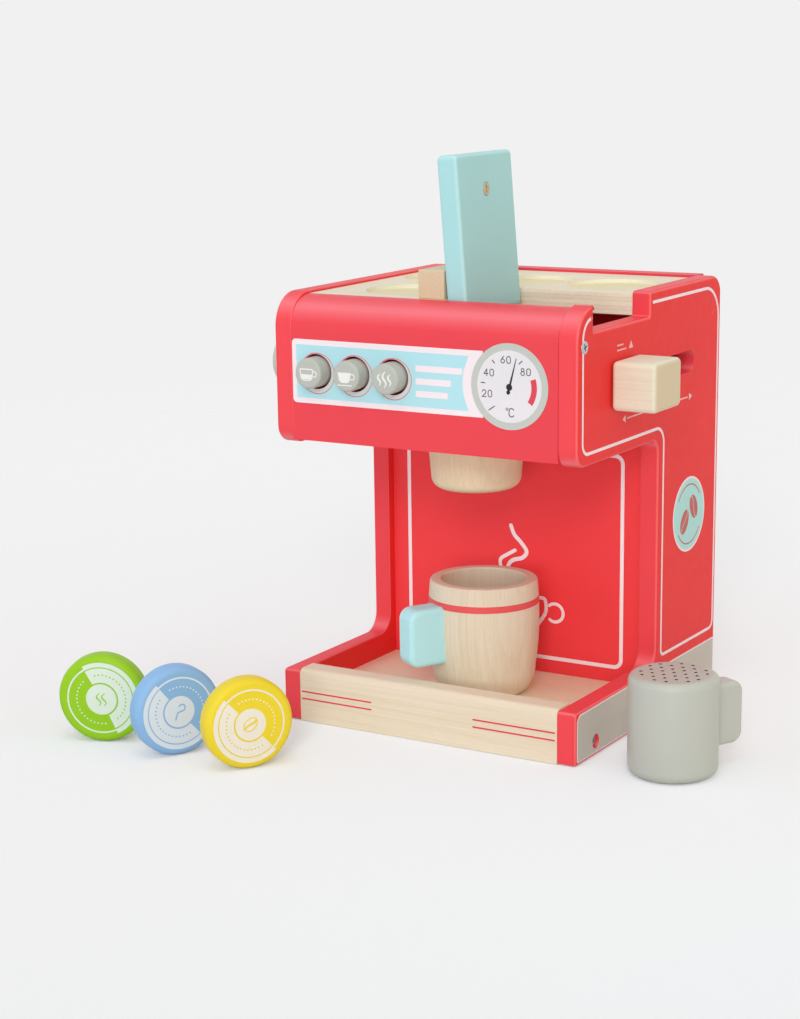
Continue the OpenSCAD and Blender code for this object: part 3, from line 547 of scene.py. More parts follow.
def wood(name, along, seed, light="#F0E3CE", dark="#E2D1B3", end="#DCC8A8", rough=0.6):
    """Bare pale wood. Faint growth lines, fine streaks and pores run along it, and the faces across
    the grain are a little darker."""
    made, tree, shader = blank(name)
    coords = node(tree, "TexCoord").outputs
    place = node(tree, "Mapping", (0, coords["Object"]), (1, (0.031 * seed, 0.047 * seed, 0.023 * seed)))

    def stretched(across, lengthways, detail):
        scale = [across] * 3
        scale[along] = lengthways
        at = node(tree, "VectorMath", (0, place), (1, scale), operation="MULTIPLY")
        return noise(tree, at, 1.0, detail)

    streaks = feed(tree, stretched(800, 13, 5.0), ("Roughness", 0.6))
    bend = stretched(16, 3, 1.0).outputs["Color"]
    bend = node(tree, "VectorMath", (0, bend), ("Scale", 0.012), operation="SCALE")
    pith = [0.15 + 0.02 * (seed % 3), -0.12, 0.1]
    pith[along] = 0.0
    centred = node(tree, "VectorMath", (0, coords["Object"]), (1, pith), operation="ADD")
    centred = node(tree, "VectorMath", (0, centred), (1, bend), operation="ADD")
    rings = node(tree, "TexWave", (0, centred), ("Scale", 110.0), wave_type="RINGS",
                 rings_direction="XYZ"[along], wave_profile="SAW")
    mark = maths(tree, "POWER", rings.outputs["Fac"], 2.5)
    total = maths(tree, "MULTIPLY_ADD", mark, 0.25, ramp(tree, streaks, 0.3, 0.75, -0.05, 0.5))
    cloud = ramp(tree, stretched(90, 6, 2.0), 0.35, 0.7, 0.0, 0.35)
    side = blend(tree, maths(tree, "ADD", total, cloud, clamp=True), tint(light), tint(dark))
    pores = ramp(tree, stretched(2600, 130, 1.0), 0.62, 0.72, 0.0, 0.25)
    side = blend(tree, pores, side, tint("#C9B28E"))
    specks = ramp(tree, noise(tree, place, 1500.0, 2.0), 0.35, 0.7, 0.0, 0.16)
    butt = maths(tree, "MULTIPLY_ADD", mark, 0.14, specks, clamp=True)
    butt = blend(tree, butt, tint(end), tint("#C2A880"))
    across = maths(tree, "ABSOLUTE", node(tree, "SeparateXYZ", (0, coords["Normal"])).outputs[along])
    colour = blend(tree, ramp(tree, across, 0.55, 0.9), side, butt)
    height = maths(tree, "SUBTRACT", streaks, pores)
    bump = node(tree, "Bump", ("Height", height), ("Distance", 0.00005), ("Strength", 1.0))
    dull = ramp(tree, streaks, 0.3, 0.7, rough - 0.06, rough + 0.1)
    feed(tree, shader, ("Base Color", colour), ("Roughness", dull), ("Specular IOR Level", 0.25),
         ("Normal", bump))
    return made


def bar_ends(p):
    """The bar's end and bottom edges, which meet other boards."""
    return abs(p.x) > 80 or p.z < 16


def to_front(y, x=0.0, z=0.0):
    """The place of a drawing that is looked at from the toy's front."""
    return facing((1, 0, 0), (0, 0, 1), x, y, z)


fit(eased("back_board", "back_panel", 1.2, paint("satin_red_back", "#E8424C", seed=2.0)),
    "cabinet", "red_paint", "back_panel")
fit(eased("bay_floor", "base_board", 0.5, wood("floor_wood", 0, 1, light="#F9F5DC", dark="#EFE5C2")),
    "cabinet", "natural_wood", "base_board")
fit(eased("bay_front_bar", "front_bar", 1.4, wood("bar_wood", 0, 2, end="#EBDCC2"), bar_ends, 0.4),
    "cabinet", "natural_wood", "front_bar")
front_face = to_front(front_y)
red_ink = ink("red_ink", "#E04A59")
bar_lines = [stroke([(start, z), (end, z)], 1.0)
             for start, end in ((-86.4, -37.2), (33.2, 86.4)) for z in (18.8, 14.3)]
printed("bar_lines", front_face, red_ink, bar_lines)

# ---- Splash panel ----
# The wall at the back of the serving bay, sprayed like the rest, with a printed pale frame and a
# plain drawing of a steaming cup.
fit(eased("splash_board", "splash_panel", 0.4, paint("splash_red", "#FA464C", rough=0.45, seed=4.0)),
    "cabinet", "red_splash", "splash_panel")
splash_y, line_w = 15, 2.4
frame_line = stroke(rectangle(-76, 74, 27, 159, 5), line_w, closed=True)
cup_bowl = path([(-25.4, 65, 2.2), (-27.2, 57, 11), (-18.5, 44.5, 14), (-11, 34, 8),
                 (7, 34, 8), (14.5, 44.5, 14), (23.2, 57, 11), (21.4, 65, 2.2)])
cup = [stroke(cup_bowl, 2.3, closed=True), stroke(arc(28.4, 56.4, 5.8, 132, -128), 2.0)]


def flowing(*corners, steps=8):
    """A smooth line through some points."""
    along = [Vector(p) for p in (corners[0], *corners, corners[-1])]
    line = []
    for a, b, c, d in zip(along, along[1:], along[2:], along[3:]):
        for k in range(steps):
            t = k / steps
            line.append((2 * b + (c - a) * t + (2 * a - 5 * b + 4 * c - d) * t * t
                         + (3 * b - a - 3 * c + d) * t ** 3) / 2)
    return line + [along[-1]]


tall_steam = flowing((-2.4, 109), (0, 103.5), (5, 98.6), (8.6, 93.4),
                     (5.6, 89.2), (-1, 87), (-4.4, 83), (-5, 76))
low_steam = flowing((0.4, 93.4), (-4.4, 90.6), (-9.6, 87), (-9.8, 82), (-8.6, 76))
# The frame, cup and steam are in a brighter copy of the pale ink: painted light, to lift the print out of the
# bay's shade.
printed("splash_print", to_front(splash_y), ink("pale_ink_painted_bright", "#FFF8FC"),
        [frame_line, *cup, stroke(tall_steam, 2.6), stroke(low_steam, 2.3)])

# ---- Head: the boards inside ----
# Between the sides sit the board over the bay, the deck that lifts the pods, the wall beside the
# chute, two rails over the column, a batten under the tray and the board that guides the buttons.
# The first and the wall are sprayed red, and the others are bare wood. All are glued.
inner_red = paint("satin_red_inside", "#EA3C42", rough=0.5, seed=1.0)
for solid, finish, slot in (
    ("head_floor", inner_red, "red_inside"),
    ("chute_wall", inner_red, "red_inside"),
    ("pod_deck", wood("deck_wood", 1, 3), "natural_wood"),
    ("slider_rails", wood("rail_wood", 1, 4), "natural_wood"),
    ("rear_batten", wood("batten_wood", 0, 5), "natural_wood"),
    ("button_board", wood("guide_wood", 0, 6), "natural_wood"),
):
    fit(eased(solid + "_piece", solid, 0.5, finish, fine_width=0.25), "cabinet", slot, solid)

# ---- Fascia ----
# A thick board with a broad rounded top edge and three bores for the buttons, sprayed red. A
# pale strip with a light blue field is printed on it, and a thermometer dial to the right.
button_x, button_z, button_hole = (-70.45, -44.3, -18.15), 216.5, 10.3


def near_bore(p):
    """The rims of the bores, which are only broken."""
    return any(math.hypot(p.x - x, p.z - button_z) < button_hole + 1 for x in button_x)


# The fascia red is a pinker copy of the side red: painted light, for the front light that falls on it, with a
# painted highlight on its rounded top edge.
fascia_red_front_lit = paint("fascia_red_front_lit", "#EE434E", seed=5.0, sheen=0.35, painted_highlight="#FF96A0", highlight_share=0.45)
fit(eased("fascia_board", "fascia", 1.2, fascia_red_front_lit, near_bore, 0.4), "cabinet", "red_paint", "fascia")
dial_x, dial_z, dial_r, dial_face_r = 57.8, 216.1, 24.3, 20.3
surround_x, surround_z, surround_r = 0.5, button_z - 1.1, 11.75
strip_start, strip_end, bar_start, bar_h = -87.3, 41, -2.8, 3.6
strip_holes = [circle(x + surround_x, surround_z, 12.2, 64) for x in button_x]
strip = path([(strip_start, 197.4, 2.6), (strip_end, 197.4, 0),
              (strip_end, 235.1, 0), (strip_start, 235.1, 2.6)])
printed("strip_edge", front_face, pale_ink, [[strip, *strip_holes]])
field = path([(-84.4, 200.5, 1.6), (31.9, 200.5, 0)], closed=False) \
    + arc(dial_x, dial_z, 29.9, 212, 148)[1:-1] + [(31.9, 231.8), (-84.4, 231.9)]
printed("strip_field", front_face, ink("light_blue_ink", "#B6E5EE"), [[field, *strip_holes]], level=1)
printed("button_surrounds", front_face, ink("surround_ink", "#CFDFDD"), [
    [circle(x + surround_x, surround_z, surround_r, 64), circle(x, button_z, button_hole + 0.15, 64)]
    for x in button_x])
bars = [[rectangle(bar_start, end, z, z + bar_h, 0.4)]
        for z, end in ((220.8, 27.8), (213.4, 20.4), (206.2, 18.3))]
printed("strip_bars", front_face, pale_ink, bars, level=2)

dial_ring, dial_face = (circle(dial_x, dial_z, r, 96) for r in (dial_r, dial_face_r))
printed("dial_ring", front_face, ink("dial_grey", "#C6CAC3"), [[dial_ring]], level=2)
printed("dial_face", front_face, ink("dial_white", "#E9E6EA"), [[dial_face]], level=3)


def figure(sign, x, y, size, width):
    """The strokes of a plain figure, size high, from its lower left corner."""
    forms = {
        "0": [(rectangle(0, .6, 0, 1, .29), True)],
        "2": [(arc(.3, .7, .3, 175, -35) + [(0, 0), (.62, 0)], False)],
        "4": [([(.46, 0), (.46, 1)], False), ([(.46, 1), (0, .3), (.64, .3)], False)],
        "6": [(circle(.3, .3, .3, 28), True), ([(.44, 1), (.14, .62), (.01, .36)], False)],
        "8": [(circle(.3, .75, .24, 24), True), (circle(.3, .27, .29, 28), True)],
        "C": [(arc(.34, .66, .32, 30, 180) + arc(.34, .34, .32, 180, 330), False)],
        "o": [(circle(0, .88, .13, 20), True)],
    }
    return [stroke([(x + right * size, y + up * size) for right, up in line], width, closed)
            for line, closed in forms[sign]]


marks = []
figure_h, figure_w = 3.8, 0.46
for text, x, z in (("20", 43.8, 211.5), ("40", 45.0, 223.4), ("60", 55.7, 231.1), ("80", 68.2, 225.0)):
    for sign, shift in zip(text, (-3.05, 0.65)):
        marks += figure(sign, x + shift, z - figure_h / 2, figure_h, figure_w)
marks += figure("C", 57.6, 199.2, 4.9, 0.55) + figure("o", 56.4, 199.2, 4.9, 0.35)
for tick in (((44.9, 202.2), (48.5, 204.6)), ((40.0, 217.5), (42.4, 217.4)),
             ((47.2, 230.3), (48.6, 228.8)), ((64.0, 229.2), (65.9, 230.9))):
    marks.append(stroke(tick, 0.55))
printed("dial_marks", front_face, ink("dial_black", "#4A4C50"), marks, level=4)
hot = arc(dial_x, dial_z, 17.4, 18, -34) + arc(dial_x, dial_z, 14.0, -34, 18)
printed("dial_hot_range", front_face, red_ink, [[hot]], level=4)
tip, tail = Vector((62.3, 232.2)), Vector((57.2, 212.9))
across = Vector((tip.y - tail.y, tail.x - tip.x)).normalized()
needle = [[[tip + across * 0.15, tip - across * 0.15, tail - across * 0.75, tail + across * 0.75]],
          [circle(dial_x, 215.8, 1.9, 32)], [circle(tail.x, tail.y, 1.15, 24)]]
printed("dial_needle", front_face, ink("dark_ink", "#2A2C30"), needle, level=5)

# ---- Tray and stop bar ----
# The top is 13 mm plywood, clear-lacquered, with shallow round seats bored for the pods. A bar of
# bare wood glued on it stops the open lid.


def plywood(name, low, high, plies=5):
    """Pale plywood between two heights in mm: plain veneer on its faces, the cut plies in light and
    dark lines on its edges, and a yellower floor in what is bored into it."""
    made = wood(name, 0, 7, light="#F3EAD6", dark="#E7D9BC", rough=0.5)
    tree = made.node_tree
    shader = tree.nodes["Principled BSDF"]
    veneer = shader.inputs["Base Color"].links[0].from_socket
    coords = node(tree, "TexCoord").outputs
    up_way = node(tree, "SeparateXYZ", (0, coords["Object"])).outputs[2]
    depth = ramp(tree, up_way, low / 1000, high / 1000, 0.0, float(plies))
    depth = maths(tree, "MULTIPLY_ADD", noise(tree, coords["Object"], 130.0, 2.0), 0.16, depth)
    glue = maths(tree, "LESS_THAN", maths(tree, "FRACT", depth), 0.09)
    cross = maths(tree, "GREATER_THAN", maths(tree, "MODULO", depth, 2.0), 1.0)
    grainy = ramp(tree, noise(tree, coords["Object"], 900.0, 3.0), 0.3, 0.7, 0.95, 1.03)
    ply = blend(tree, cross, tint("#F7F2DC"), tint("#F1EAD0"))
    ply = blend(tree, glue, ply, tint("#E4D9B8"))
    ply = node(tree, "VectorMath", (0, ply), ("Scale", grainy), operation="SCALE")
    flat = maths(tree, "ABSOLUTE", node(tree, "SeparateXYZ", (0, coords["Normal"])).outputs[2])
    flat = maths(tree, "GREATER_THAN", flat, 0.6)
    bored = maths(tree, "MULTIPLY", maths(tree, "LESS_THAN", up_way, high / 1000 - 0.0005), 0.8)
    face = blend(tree, bored, veneer, tint("#EADDAF"))
    feed(tree, shader, ("Base Color", blend(tree, flat, ply, face)))
    return made


tray_low, tray_top = 246.5, 259.5
fit(eased("tray_board", "tray", 0.6, plywood("tray_plywood", tray_low, tray_top)), "cabinet", "tray_ply", "tray")
fit(eased("lid_stop", "stop_bar", 0.8, wood("stop_wood", 1, 8, light="#E8D8BF", dark="#DCC5A2", end="#DFCBAC")),
    "cabinet", "natural_wood", "stop_bar")

# ---- Screws and plugs ----
# Steel screws hold the sides: one flush near the top front, one sunk in the lower arm, and one at
# the top rear under a sprayed wooden plug. Each head is slightly domed, with a cross recess.


def turning(profile, sides=96):
    """A solid turned from a profile of (radius, height) in mm, from the axis out and back to it."""
    points, faces, shading, rows = [], [], [], []
    for r, h in profile:
        count = sides if r > 1e-6 else 1
        rows.append((len(points), count))
        points += [(r * math.cos(2 * math.pi * k / sides), r * math.sin(2 * math.pi * k / sides), h)
                   for k in range(count)]
    ways = [Vector((b[1] - a[1], a[0] - b[0])).normalized() for a, b in zip(profile, profile[1:])]
    for s, way in enumerate(ways):
        below = (way + ways[s - 1]).normalized() if s and way.dot(ways[s - 1]) > 0.8 else way
        above = (way + ways[s + 1]).normalized() if s + 1 < len(ways) and way.dot(ways[s + 1]) > 0.8 else way
        (low, low_n), (high, high_n) = rows[s], rows[s + 1]
        for i in range(sides):
            j = (i + 1) % sides
            ring = []
            if low_n > 1:
                ring += [(low + i, i, below), (low + j, i + 1, below)]
            else:
                ring += [(low, i + 0.5, below)]
            if high_n > 1:
                ring += [(high + j, i + 1, above), (high + i, i, above)]
            else:
                ring += [(high, i + 0.5, above)]
            faces.append(tuple(at for at, _, _ in ring))
            for _, k, n in ring:
                a = 2 * math.pi * k / sides
                shading.append((n.x * math.cos(a), n.x * math.sin(a), n.y))
    return points, faces, shading


def steel(name, code="#C9CBCE", rough=0.28):
    """Zinc-plated steel with fine turning marks."""
    made, tree, shader = blank(name)
    fine = noise(tree, node(tree, "TexCoord").outputs["Object"], 2200.0, 3.0)
    tone = ramp(tree, fine, 0.3, 0.7, 0.88, 1.05)
    colour = node(tree, "VectorMath", (0, tint(code)[:3]), ("Scale", tone), operation="SCALE")
    bump = node(tree, "Bump", ("Height", fine), ("Distance", 0.00002), ("Strength", 1.0))
    dull = ramp(tree, fine, 0.3, 0.7, rough - 0.06, rough + 0.1)
    feed(tree, shader, ("Base Color", colour), ("Roughness", dull), ("Metallic", 1.0), ("Normal", bump))
    return made


zinc = steel("zinc_steel")


def screw_parts(r, rise, length, thread_r=1.9):
    """A screw along -Z: a domed head with a cross recess, whose top stands at rise, and a threaded
    shank of a given length and radius."""
    arm, wide, pitch = r * 0.58, r * 0.11, 1.4
    cross = path([(-wide, -arm, 0), (wide, -arm, 0), (wide, -wide, 0.15), (arm, -wide, 0), (arm, wide, 0),
                  (wide, wide, 0.15), (wide, arm, 0), (-wide, arm, 0), (-wide, wide, 0.15), (-arm, wide, 0),
                  (-arm, -wide, 0), (-wide, -wide, 0.15)])
    head = board([[circle(0, 0, r, 48), cross]], rise - 1.5, rise, ease=0.7, rim=0.12)
    under = turning([(0, -2.4), (r - 0.1, -2.4), (r - 0.1, rise - 1.2), (0, rise - 1.2)], 32)
    thread = [(0, -length)]
    for k in range(int((length - 3) / pitch)):
        thread += [(thread_r * min(0.72, k + 0.2), -length + pitch * k + 0.5),
                   (thread_r * min(1, k + 0.5), -length + pitch * k + 1.2)]
    thread += [(thread_r * 0.8, -2.6), (thread_r * 0.8, -2.3), (0, -2.3)]
    return head, under, turning(thread, 20)


head_r, screw_len, driven_turn = 3.95, 30, 0.4
number = 0
for to_side, sign in ((to_right, 1), (to_left, -1)):
    for at, sunk, rise in ((front_screw, 0, 0.25), (arm_screw, 3, 1.4), (rear_screw, 3, 0)):
        number += 1
        place = to_side(sign * (half_width - sunk), *at) @ Matrix.Rotation(driven_turn * number, 4, "Z")
        made = fit(piece("side_screw_%d" % number, place, zinc, *screw_parts(head_r, rise, screw_len)),
                   "cabinet", "steel")
        if number == 1:
            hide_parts("panel_screws")
plug = turning([(0, -3), (head_r, -3), (head_r, -0.45), (head_r - 0.15, -0.25), (0, -0.2)], 48)
for side, place in (("right", to_right(half_width, *rear_screw)), ("left", to_left(-half_width, *rear_screw))):
    made = fit(piece(side + "_plug", place, red, plug), "cabinet", "red_paint")
    if side == "right":
        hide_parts("screw_plugs")

# ---- Lid ----
# A thick board, sprayed pale blue-green, that turns on a steel pin through its rounded lower end.
# A screw sits in a shallow counterbore near its free end.
lean, pin_x, lid_middle, pin_z = math.radians(4.4), 12, -42.5, 253.4
lid_screw_up, pin_r, pin_half, pin_middle = 66.4, 2, 44, -40.25
lid_place = facing((math.cos(lean), 0, math.sin(lean)), (-math.sin(lean), 0, math.cos(lean)),
                   pin_x, lid_middle, pin_z)
lid_flat = lid_place.inverted()


def lid_fine(p):
    """The rims of the pin's bore and of the screw's counterbore, which are only broken."""
    at = lid_flat @ (p / 1000) * 1000
    return math.hypot(at.x, at.y) < 4 or (at.x > 4.5 and math.hypot(at.y - lid_screw_up, at.z) < 5)


# The lid's rounded edges take a paler aqua, a painted highlight.
pale_aqua = paint("pale_aqua", "#AEE0E3", seed=6.0, painted_highlight="#CBF0F2")
fit(eased("lid_board", "lid", 2.4, pale_aqua, lid_fine, 0.25, clamp=False), "lid_body", "lid_paint", "lid")
screw_place = lid_place @ facing((0, 0, -1), (0, 1, 0), 5.5, lid_screw_up, 0)
fit(piece("lid_board_screw", screw_place, steel("brassed_steel", "#C9BB9A"), *screw_parts(head_r, 1.1, 10)),
    "lid_body", "steel", "lid_screw")
pin = turning([(0, -pin_half), (pin_r - 0.3, -pin_half), (pin_r, 0.3 - pin_half),
               (pin_r, pin_half - 0.3), (pin_r - 0.3, pin_half), (0, pin_half)], 32)
fit(piece("hinge_pin", to_front(pin_middle, pin_x, pin_z), zinc, pin), "cabinet", "steel", "lid_pin")

# ---- Pod slider ----
# A sprayed plate with a round hole carries a pod from the chute to the back, where it drops. A
# dowel through the long slot joins it to a block handle of bare wood.
# The plate's red is a darker copy of the inside red: painted shade, for the dim space under the tray.
fit(eased("slider_board", "slider_plate", 0.6, paint("slider_red_painted_dark", "#CF3039", seed=7.0)),
    "slider", "red_inside", "slider_plate")
dowel_r, dowel_start, dowel_end = 6.3, 83.5, 114.3
rod = turning([(0, dowel_start), (dowel_r, dowel_start), (dowel_r, dowel_end), (0, dowel_end)], 48)
fit(piece("slider_rod", to_right(0, dowel_y, slot_z), wood("dowel_wood", 2, 9), rod),
    "slider", "natural_wood", "slider_dowel")
block_x, block_half_w, block_half_h, block_out, block_round = 100.6, 17.5, 14, 27.4, 3.2
block = rectangle(-block_half_w, block_half_w, -block_half_h, block_half_h, block_round, step=10)
handle_wood = wood("handle_wood", 2, 10, light="#EEEDDA", dark="#E3DCC2", end="#E2D2B4")
fit(piece("slider_block", to_right(block_x, dowel_y, slot_z), handle_wood,
          board([[block]], 0, block_out, ease=2.8, turns=6)), "slider", "natural_wood", "slider_handle")

# ---- Buttons ----
# Three turned buttons in pale grey-green stand out of the fascia. Each has a collar behind it and
# a stem that a coil spring sits on, and a small white drawing on its face. In the toy a press
# shortens the spring between the collar and the board behind it; here the spring stays at rest.
press, button_y, face_out, spring_y = 6.0, -77.2, 30, -61.1
spring_r, wire_r, spring_len, spring_turns = 5.6, 0.6, 12.5, 5


def profile(*corners):
    """Half the outline of a turning, with rounded corners, as (radius, height) in mm."""
    return [(p.x, p.y) for p in path(corners, closed=False)]


def wisp(x, low, high, swing, width, steps=24):
    """A rising wisp of steam, thin at both ends."""
    line = [Vector((x + swing * math.sin(2.2 * math.pi * k / steps), low + (high - low) * k / steps))
            for k in range(steps + 1)]
    left, right_edge = [], []
    for i, p in enumerate(line):
        d = (line[min(i + 1, steps)] - line[max(i - 1, 0)]).normalized()
        half = width * (0.35 + 0.65 * math.sin(math.pi * i / steps)) / 2
        left.append(p + Vector((-d.y, d.x)) * half)
        right_edge.append(p - Vector((-d.y, d.x)) * half)
    return [left + right_edge[::-1]]


def coil(r, wire, length, turns, steps=30, sides=10):
    """A coil spring along Z, wound from round wire."""
    points, faces, shading, ways = [], [], [], []
    for s in range(turns * steps + 1):
        a = 2 * math.pi * s / steps
        out = Vector((math.cos(a), math.sin(a), 0))
        height = wire + (length - 2 * wire) * s / (turns * steps)
        for k in range(sides):
            b = 2 * math.pi * k / sides
            ways.append(out * math.cos(b) + Vector((0, 0, math.sin(b))))
            points.append(out * r + Vector((0, 0, height)) + ways[-1] * wire)
    for s in range(turns * steps):
        for k in range(sides):
            a, b = s * sides + k, s * sides + (k + 1) % sides
            faces.append((a, a + sides, b + sides, b))
            shading += [ways[i] for i in faces[-1]]
    last = len(points) - sides
    faces += [tuple(range(sides)), tuple(range(len(points) - 1, last - 1, -1))]
    shading += [Vector((0, -1, 0))] * sides + [Vector((0, 1, 0))] * sides
    return points, faces, shading


button_grey = paint("button_grey", "#BCC0B7", rough=0.42, seed=8.0)
icon_ink = ink("icon_white", "#F0F0EE")
icons = [
    [stroke(path([(-5.2, 2.6, .6), (-4.2, -3.8, 2.2), (2.8, -3.8, 2.2), (3.8, 2.6, .6)]), 0.7, closed=True),
     stroke(path([(4.2, 1.4, 0), (6.2, 1.4, 1), (5.9, -1.6, 1), (3.9, -1.6, 0)], closed=False), 0.6),
     [path([(-4.4, -0.4, .2), (-3.7, -3.2, 1.4), (2.3, -3.2, 1.4), (3.0, -0.4, .2)])]],
    [[path([(-5.2, 2.2, .3), (-4.0, -3.8, 2.6), (2.6, -3.8, 2.6), (3.8, 2.2, .3)])],
     stroke(path([(3.9, 1.4, 0), (6.2, 1.4, 1), (5.9, -1.6, 1), (3.5, -1.6, 0)], closed=False), 0.6),
     stroke([(-5.4, -5.2), (4.0, -5.2)], 0.6)],
    [wisp(-3.2, -3.5, 3.2, 0.9, 1.2), wisp(0.2, -4.6, 4.6, 1.1, 1.3), wisp(3.6, -3.5, 3.2, 0.9, 1.2)],
]
stem_and_collar = [(0, -26.2), (3.7, -26.2), (4, -25.9), (4, -3.5), (12, -3.5), (12, 0)]
button_shape = stem_and_collar + profile((9, 0, 0), (9, face_out, 1.6), (0, face_out, 0))
for i, (side, x) in enumerate(zip(("left", "middle", "right"), button_x)):
    body = "button_" + side
    fit(piece(body + "_turning", to_front(button_y, x, button_z), button_grey, turning(button_shape)),
        body, "button_paint", "button_%d" % (i + 1))
    printed(body + "_icon", to_front(button_y - face_out, x, button_z), icon_ink, icons[i], body=body)
    spring = piece(body + "_coil", to_front(spring_y, x, button_z), zinc,
                   coil(spring_r, wire_r, spring_len, spring_turns))
    fit(spring, "cabinet", "steel", "button_spring_%d" % (i + 1))
    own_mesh(spring)

# ---- Side knob ----
# A turned knob on the left side, in pale grey, glued on a beech axle that runs through the panel
# and is kept in by a collar. A short white line marks its place.
knob_x, knob_y, knob_z, knob_r, knob_t = -100.4, -69, 218, 15.5, 11.5
axle_r, axle_in, axle_out = 4, -16, 6.9
collar_x, collar_bore, collar_r, collar_t, collar_ease = -84.4, 4.02, 7.9, 3.2, 0.2
knob_place = to_left(knob_x, knob_y, knob_z)
knob_shape = [(0, 0)] + profile((knob_r, 0, 0), (knob_r, knob_t, 3), (0, knob_t, 0))
fit(piece("knob_turning", knob_place, paint("pale_grey", "#C3C7BC", rough=0.4, seed=9.0), turning(knob_shape)),
    "knob", "grey_paint", "side_knob")
printed("knob_line", to_left(knob_x - knob_t, knob_y, knob_z), pale_ink,
        [stroke([(0, 3), (0, 11.5)], 1.4)], body="knob")
axle = turning([(0, axle_in), (axle_r, axle_in), (axle_r, axle_out), (0, axle_out)], 48)
fit(piece("knob_rod", knob_place, wood("axle_wood", 2, 11), axle), "knob", "natural_wood", "knob_axle")
collar = turning([(collar_bore, 0), (collar_r - collar_ease, 0), (collar_r, collar_ease),
                  (collar_r, collar_t - collar_ease), (collar_r - collar_ease, collar_t),
                  (collar_bore, collar_t), (collar_bore, 0)], 64)
fit(piece("knob_collar", to_left(collar_x, knob_y, knob_z), wood("collar_wood", 2, 12), collar),
    "knob", "natural_wood", "axle_collar")

# ---- Nozzle ----
# Turned from bare wood, slightly tapered, with a well rounded lower edge. A screw from inside the
# head holds it under the board over the bay.
nozzle_x, nozzle_y, nozzle_z, nozzle_h, nozzle_screw_z = 3, -38, 143, 32, 187


def standing(x, y, z):
    """The place of a turning whose axis stands upright."""
    return facing((1, 0, 0), (0, 1, 0), x, y, z)


nozzle_shape = profile((0, 1, 0), (26.4, 1, 7), (29, nozzle_h, 0), (0, nozzle_h, 0))
nozzle_wood = wood("nozzle_wood", 2, 13, light="#EEDFC0", dark="#DFCCA6")
fit(piece("nozzle_turning", standing(nozzle_x, nozzle_y, nozzle_z), nozzle_wood, turning(nozzle_shape, 128)),
    "cabinet", "natural_wood", "nozzle")
fixing = screw_parts(head_r, 0, screw_len)
fit(piece("nozzle_fixing", standing(nozzle_x, nozzle_y, nozzle_screw_z), zinc, *fixing),
    "cabinet", "steel", "nozzle_screw")

# ---- Mug ----
# A barrel-shaped turning, hollowed out, with a broad flat rim and a printed red ring. The block
# handle is sprayed pale blue-green and glued to its side.
mug_at = (7, -37, 17.2)
foot_r, foot_h, belly_r, belly_h, mug_h = 21, 17.0, 33.6, 48.0, 71.0
wall_t, floor_t, rim_round, ring_z, ring_h, ring_t = 6.8, 12, 1.1, 56.7, 4.0, 0.08


def mug_r(h):
    """The mug's outer radius: it swells from a rounded foot to the belly and draws in again."""
    side = belly_r - 0.0024 * (max(h, foot_h) - belly_h) ** 2
    return side if h >= foot_h else foot_r + (side - foot_r) * (1 - (1 - h / foot_h) ** 2.2) ** 0.6


outside = [(mug_r(h), h) for h in [foot_h * (1 - math.cos(math.pi / 2 * i / 12)) for i in range(13)]
           + [foot_h + (mug_h - 1.2 - foot_h) * i / 24 for i in range(1, 25)]]
rim_r, hollow_r = mug_r(mug_h), mug_r(mug_h) - wall_t
rim = profile((rim_r, mug_h - 1.2, 0), (rim_r, mug_h, rim_round), (hollow_r, mug_h, rim_round),
              (hollow_r, mug_h - 4, 0))[1:]
hollow = profile((hollow_r, mug_h - 4, 0), (hollow_r, floor_t, 6), (0, floor_t, 0))[1:]
mug_wood = wood("mug_wood", 2, 14, light="#EADDC9", dark="#DCCAAD", end="#E9DCC8")
fit(piece("mug_turning", standing(*mug_at), mug_wood, turning([(0, 0)] + outside + rim + hollow, 128)),
    "mug", "natural_wood", "mug_body")
heights = [ring_z + ring_h * i / 6 for i in range(7)]
ring = [(mug_r(h) + ring_t, h) for h in heights]
ring = [(mug_r(heights[0]) - 0.2, heights[0])] + ring + [(mug_r(heights[-1]) - 0.2, heights[-1])]
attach(piece("mug_ring", standing(*mug_at), ink("ring_red", "#EA5A5B"), turning(ring + ring[:1], 128)), "mug")


def grip(start, end, low, high, thick, ease=3.0):
    """An upright block handle: its outer corners are rounded and its edges eased."""
    outline = path([(start, low, 0), (end, low, 7), (end, high, 7), (start, high, 0)])
    return board([[outline]], -thick / 2, thick / 2, ease=ease, turns=6)


def upright(x, y, z, degrees):
    """The place of an upright drawing, turned so many degrees from the toy's right."""
    a = math.radians(degrees)
    return facing((math.cos(a), math.sin(a), 0), (0, 0, 1), x, y, z)


fit(piece("mug_grip", upright(*mug_at, 240), paint("grip_aqua", "#B9EBF0", seed=10.0),
          grip(26.5, 55.2, 22.75, 58.25, 16)), "mug", "lid_paint", "mug_handle")

# ---- Sprinkle shaker ----
# A solid turning, sprayed pale grey, with a field of small blind holes drilled in its top in
# staggered rows. Its block handle is glued on and sprayed with it.
shaker_at = (150.8, -77.2, 0)
shaker_r, shaker_h, top_r = 25.6, 58.6, 20.9
hole_r, hole_depth, hole_pitch, holes_within = 1, 5, 7, 20.1
wall = profile((0, 0, 0), (shaker_r, 0, 6), (shaker_r, shaker_h, 4.5), (top_r, shaker_h, 0))
holes = []
for row in range(-3, 4):
    for column in range(-4, 5):
        x, y = (column + (0.5 if row % 2 else 0)) * hole_pitch, row * hole_pitch * math.sqrt(3) / 2
        if math.hypot(x, y) <= holes_within:
            holes.append(Vector((x, y)))


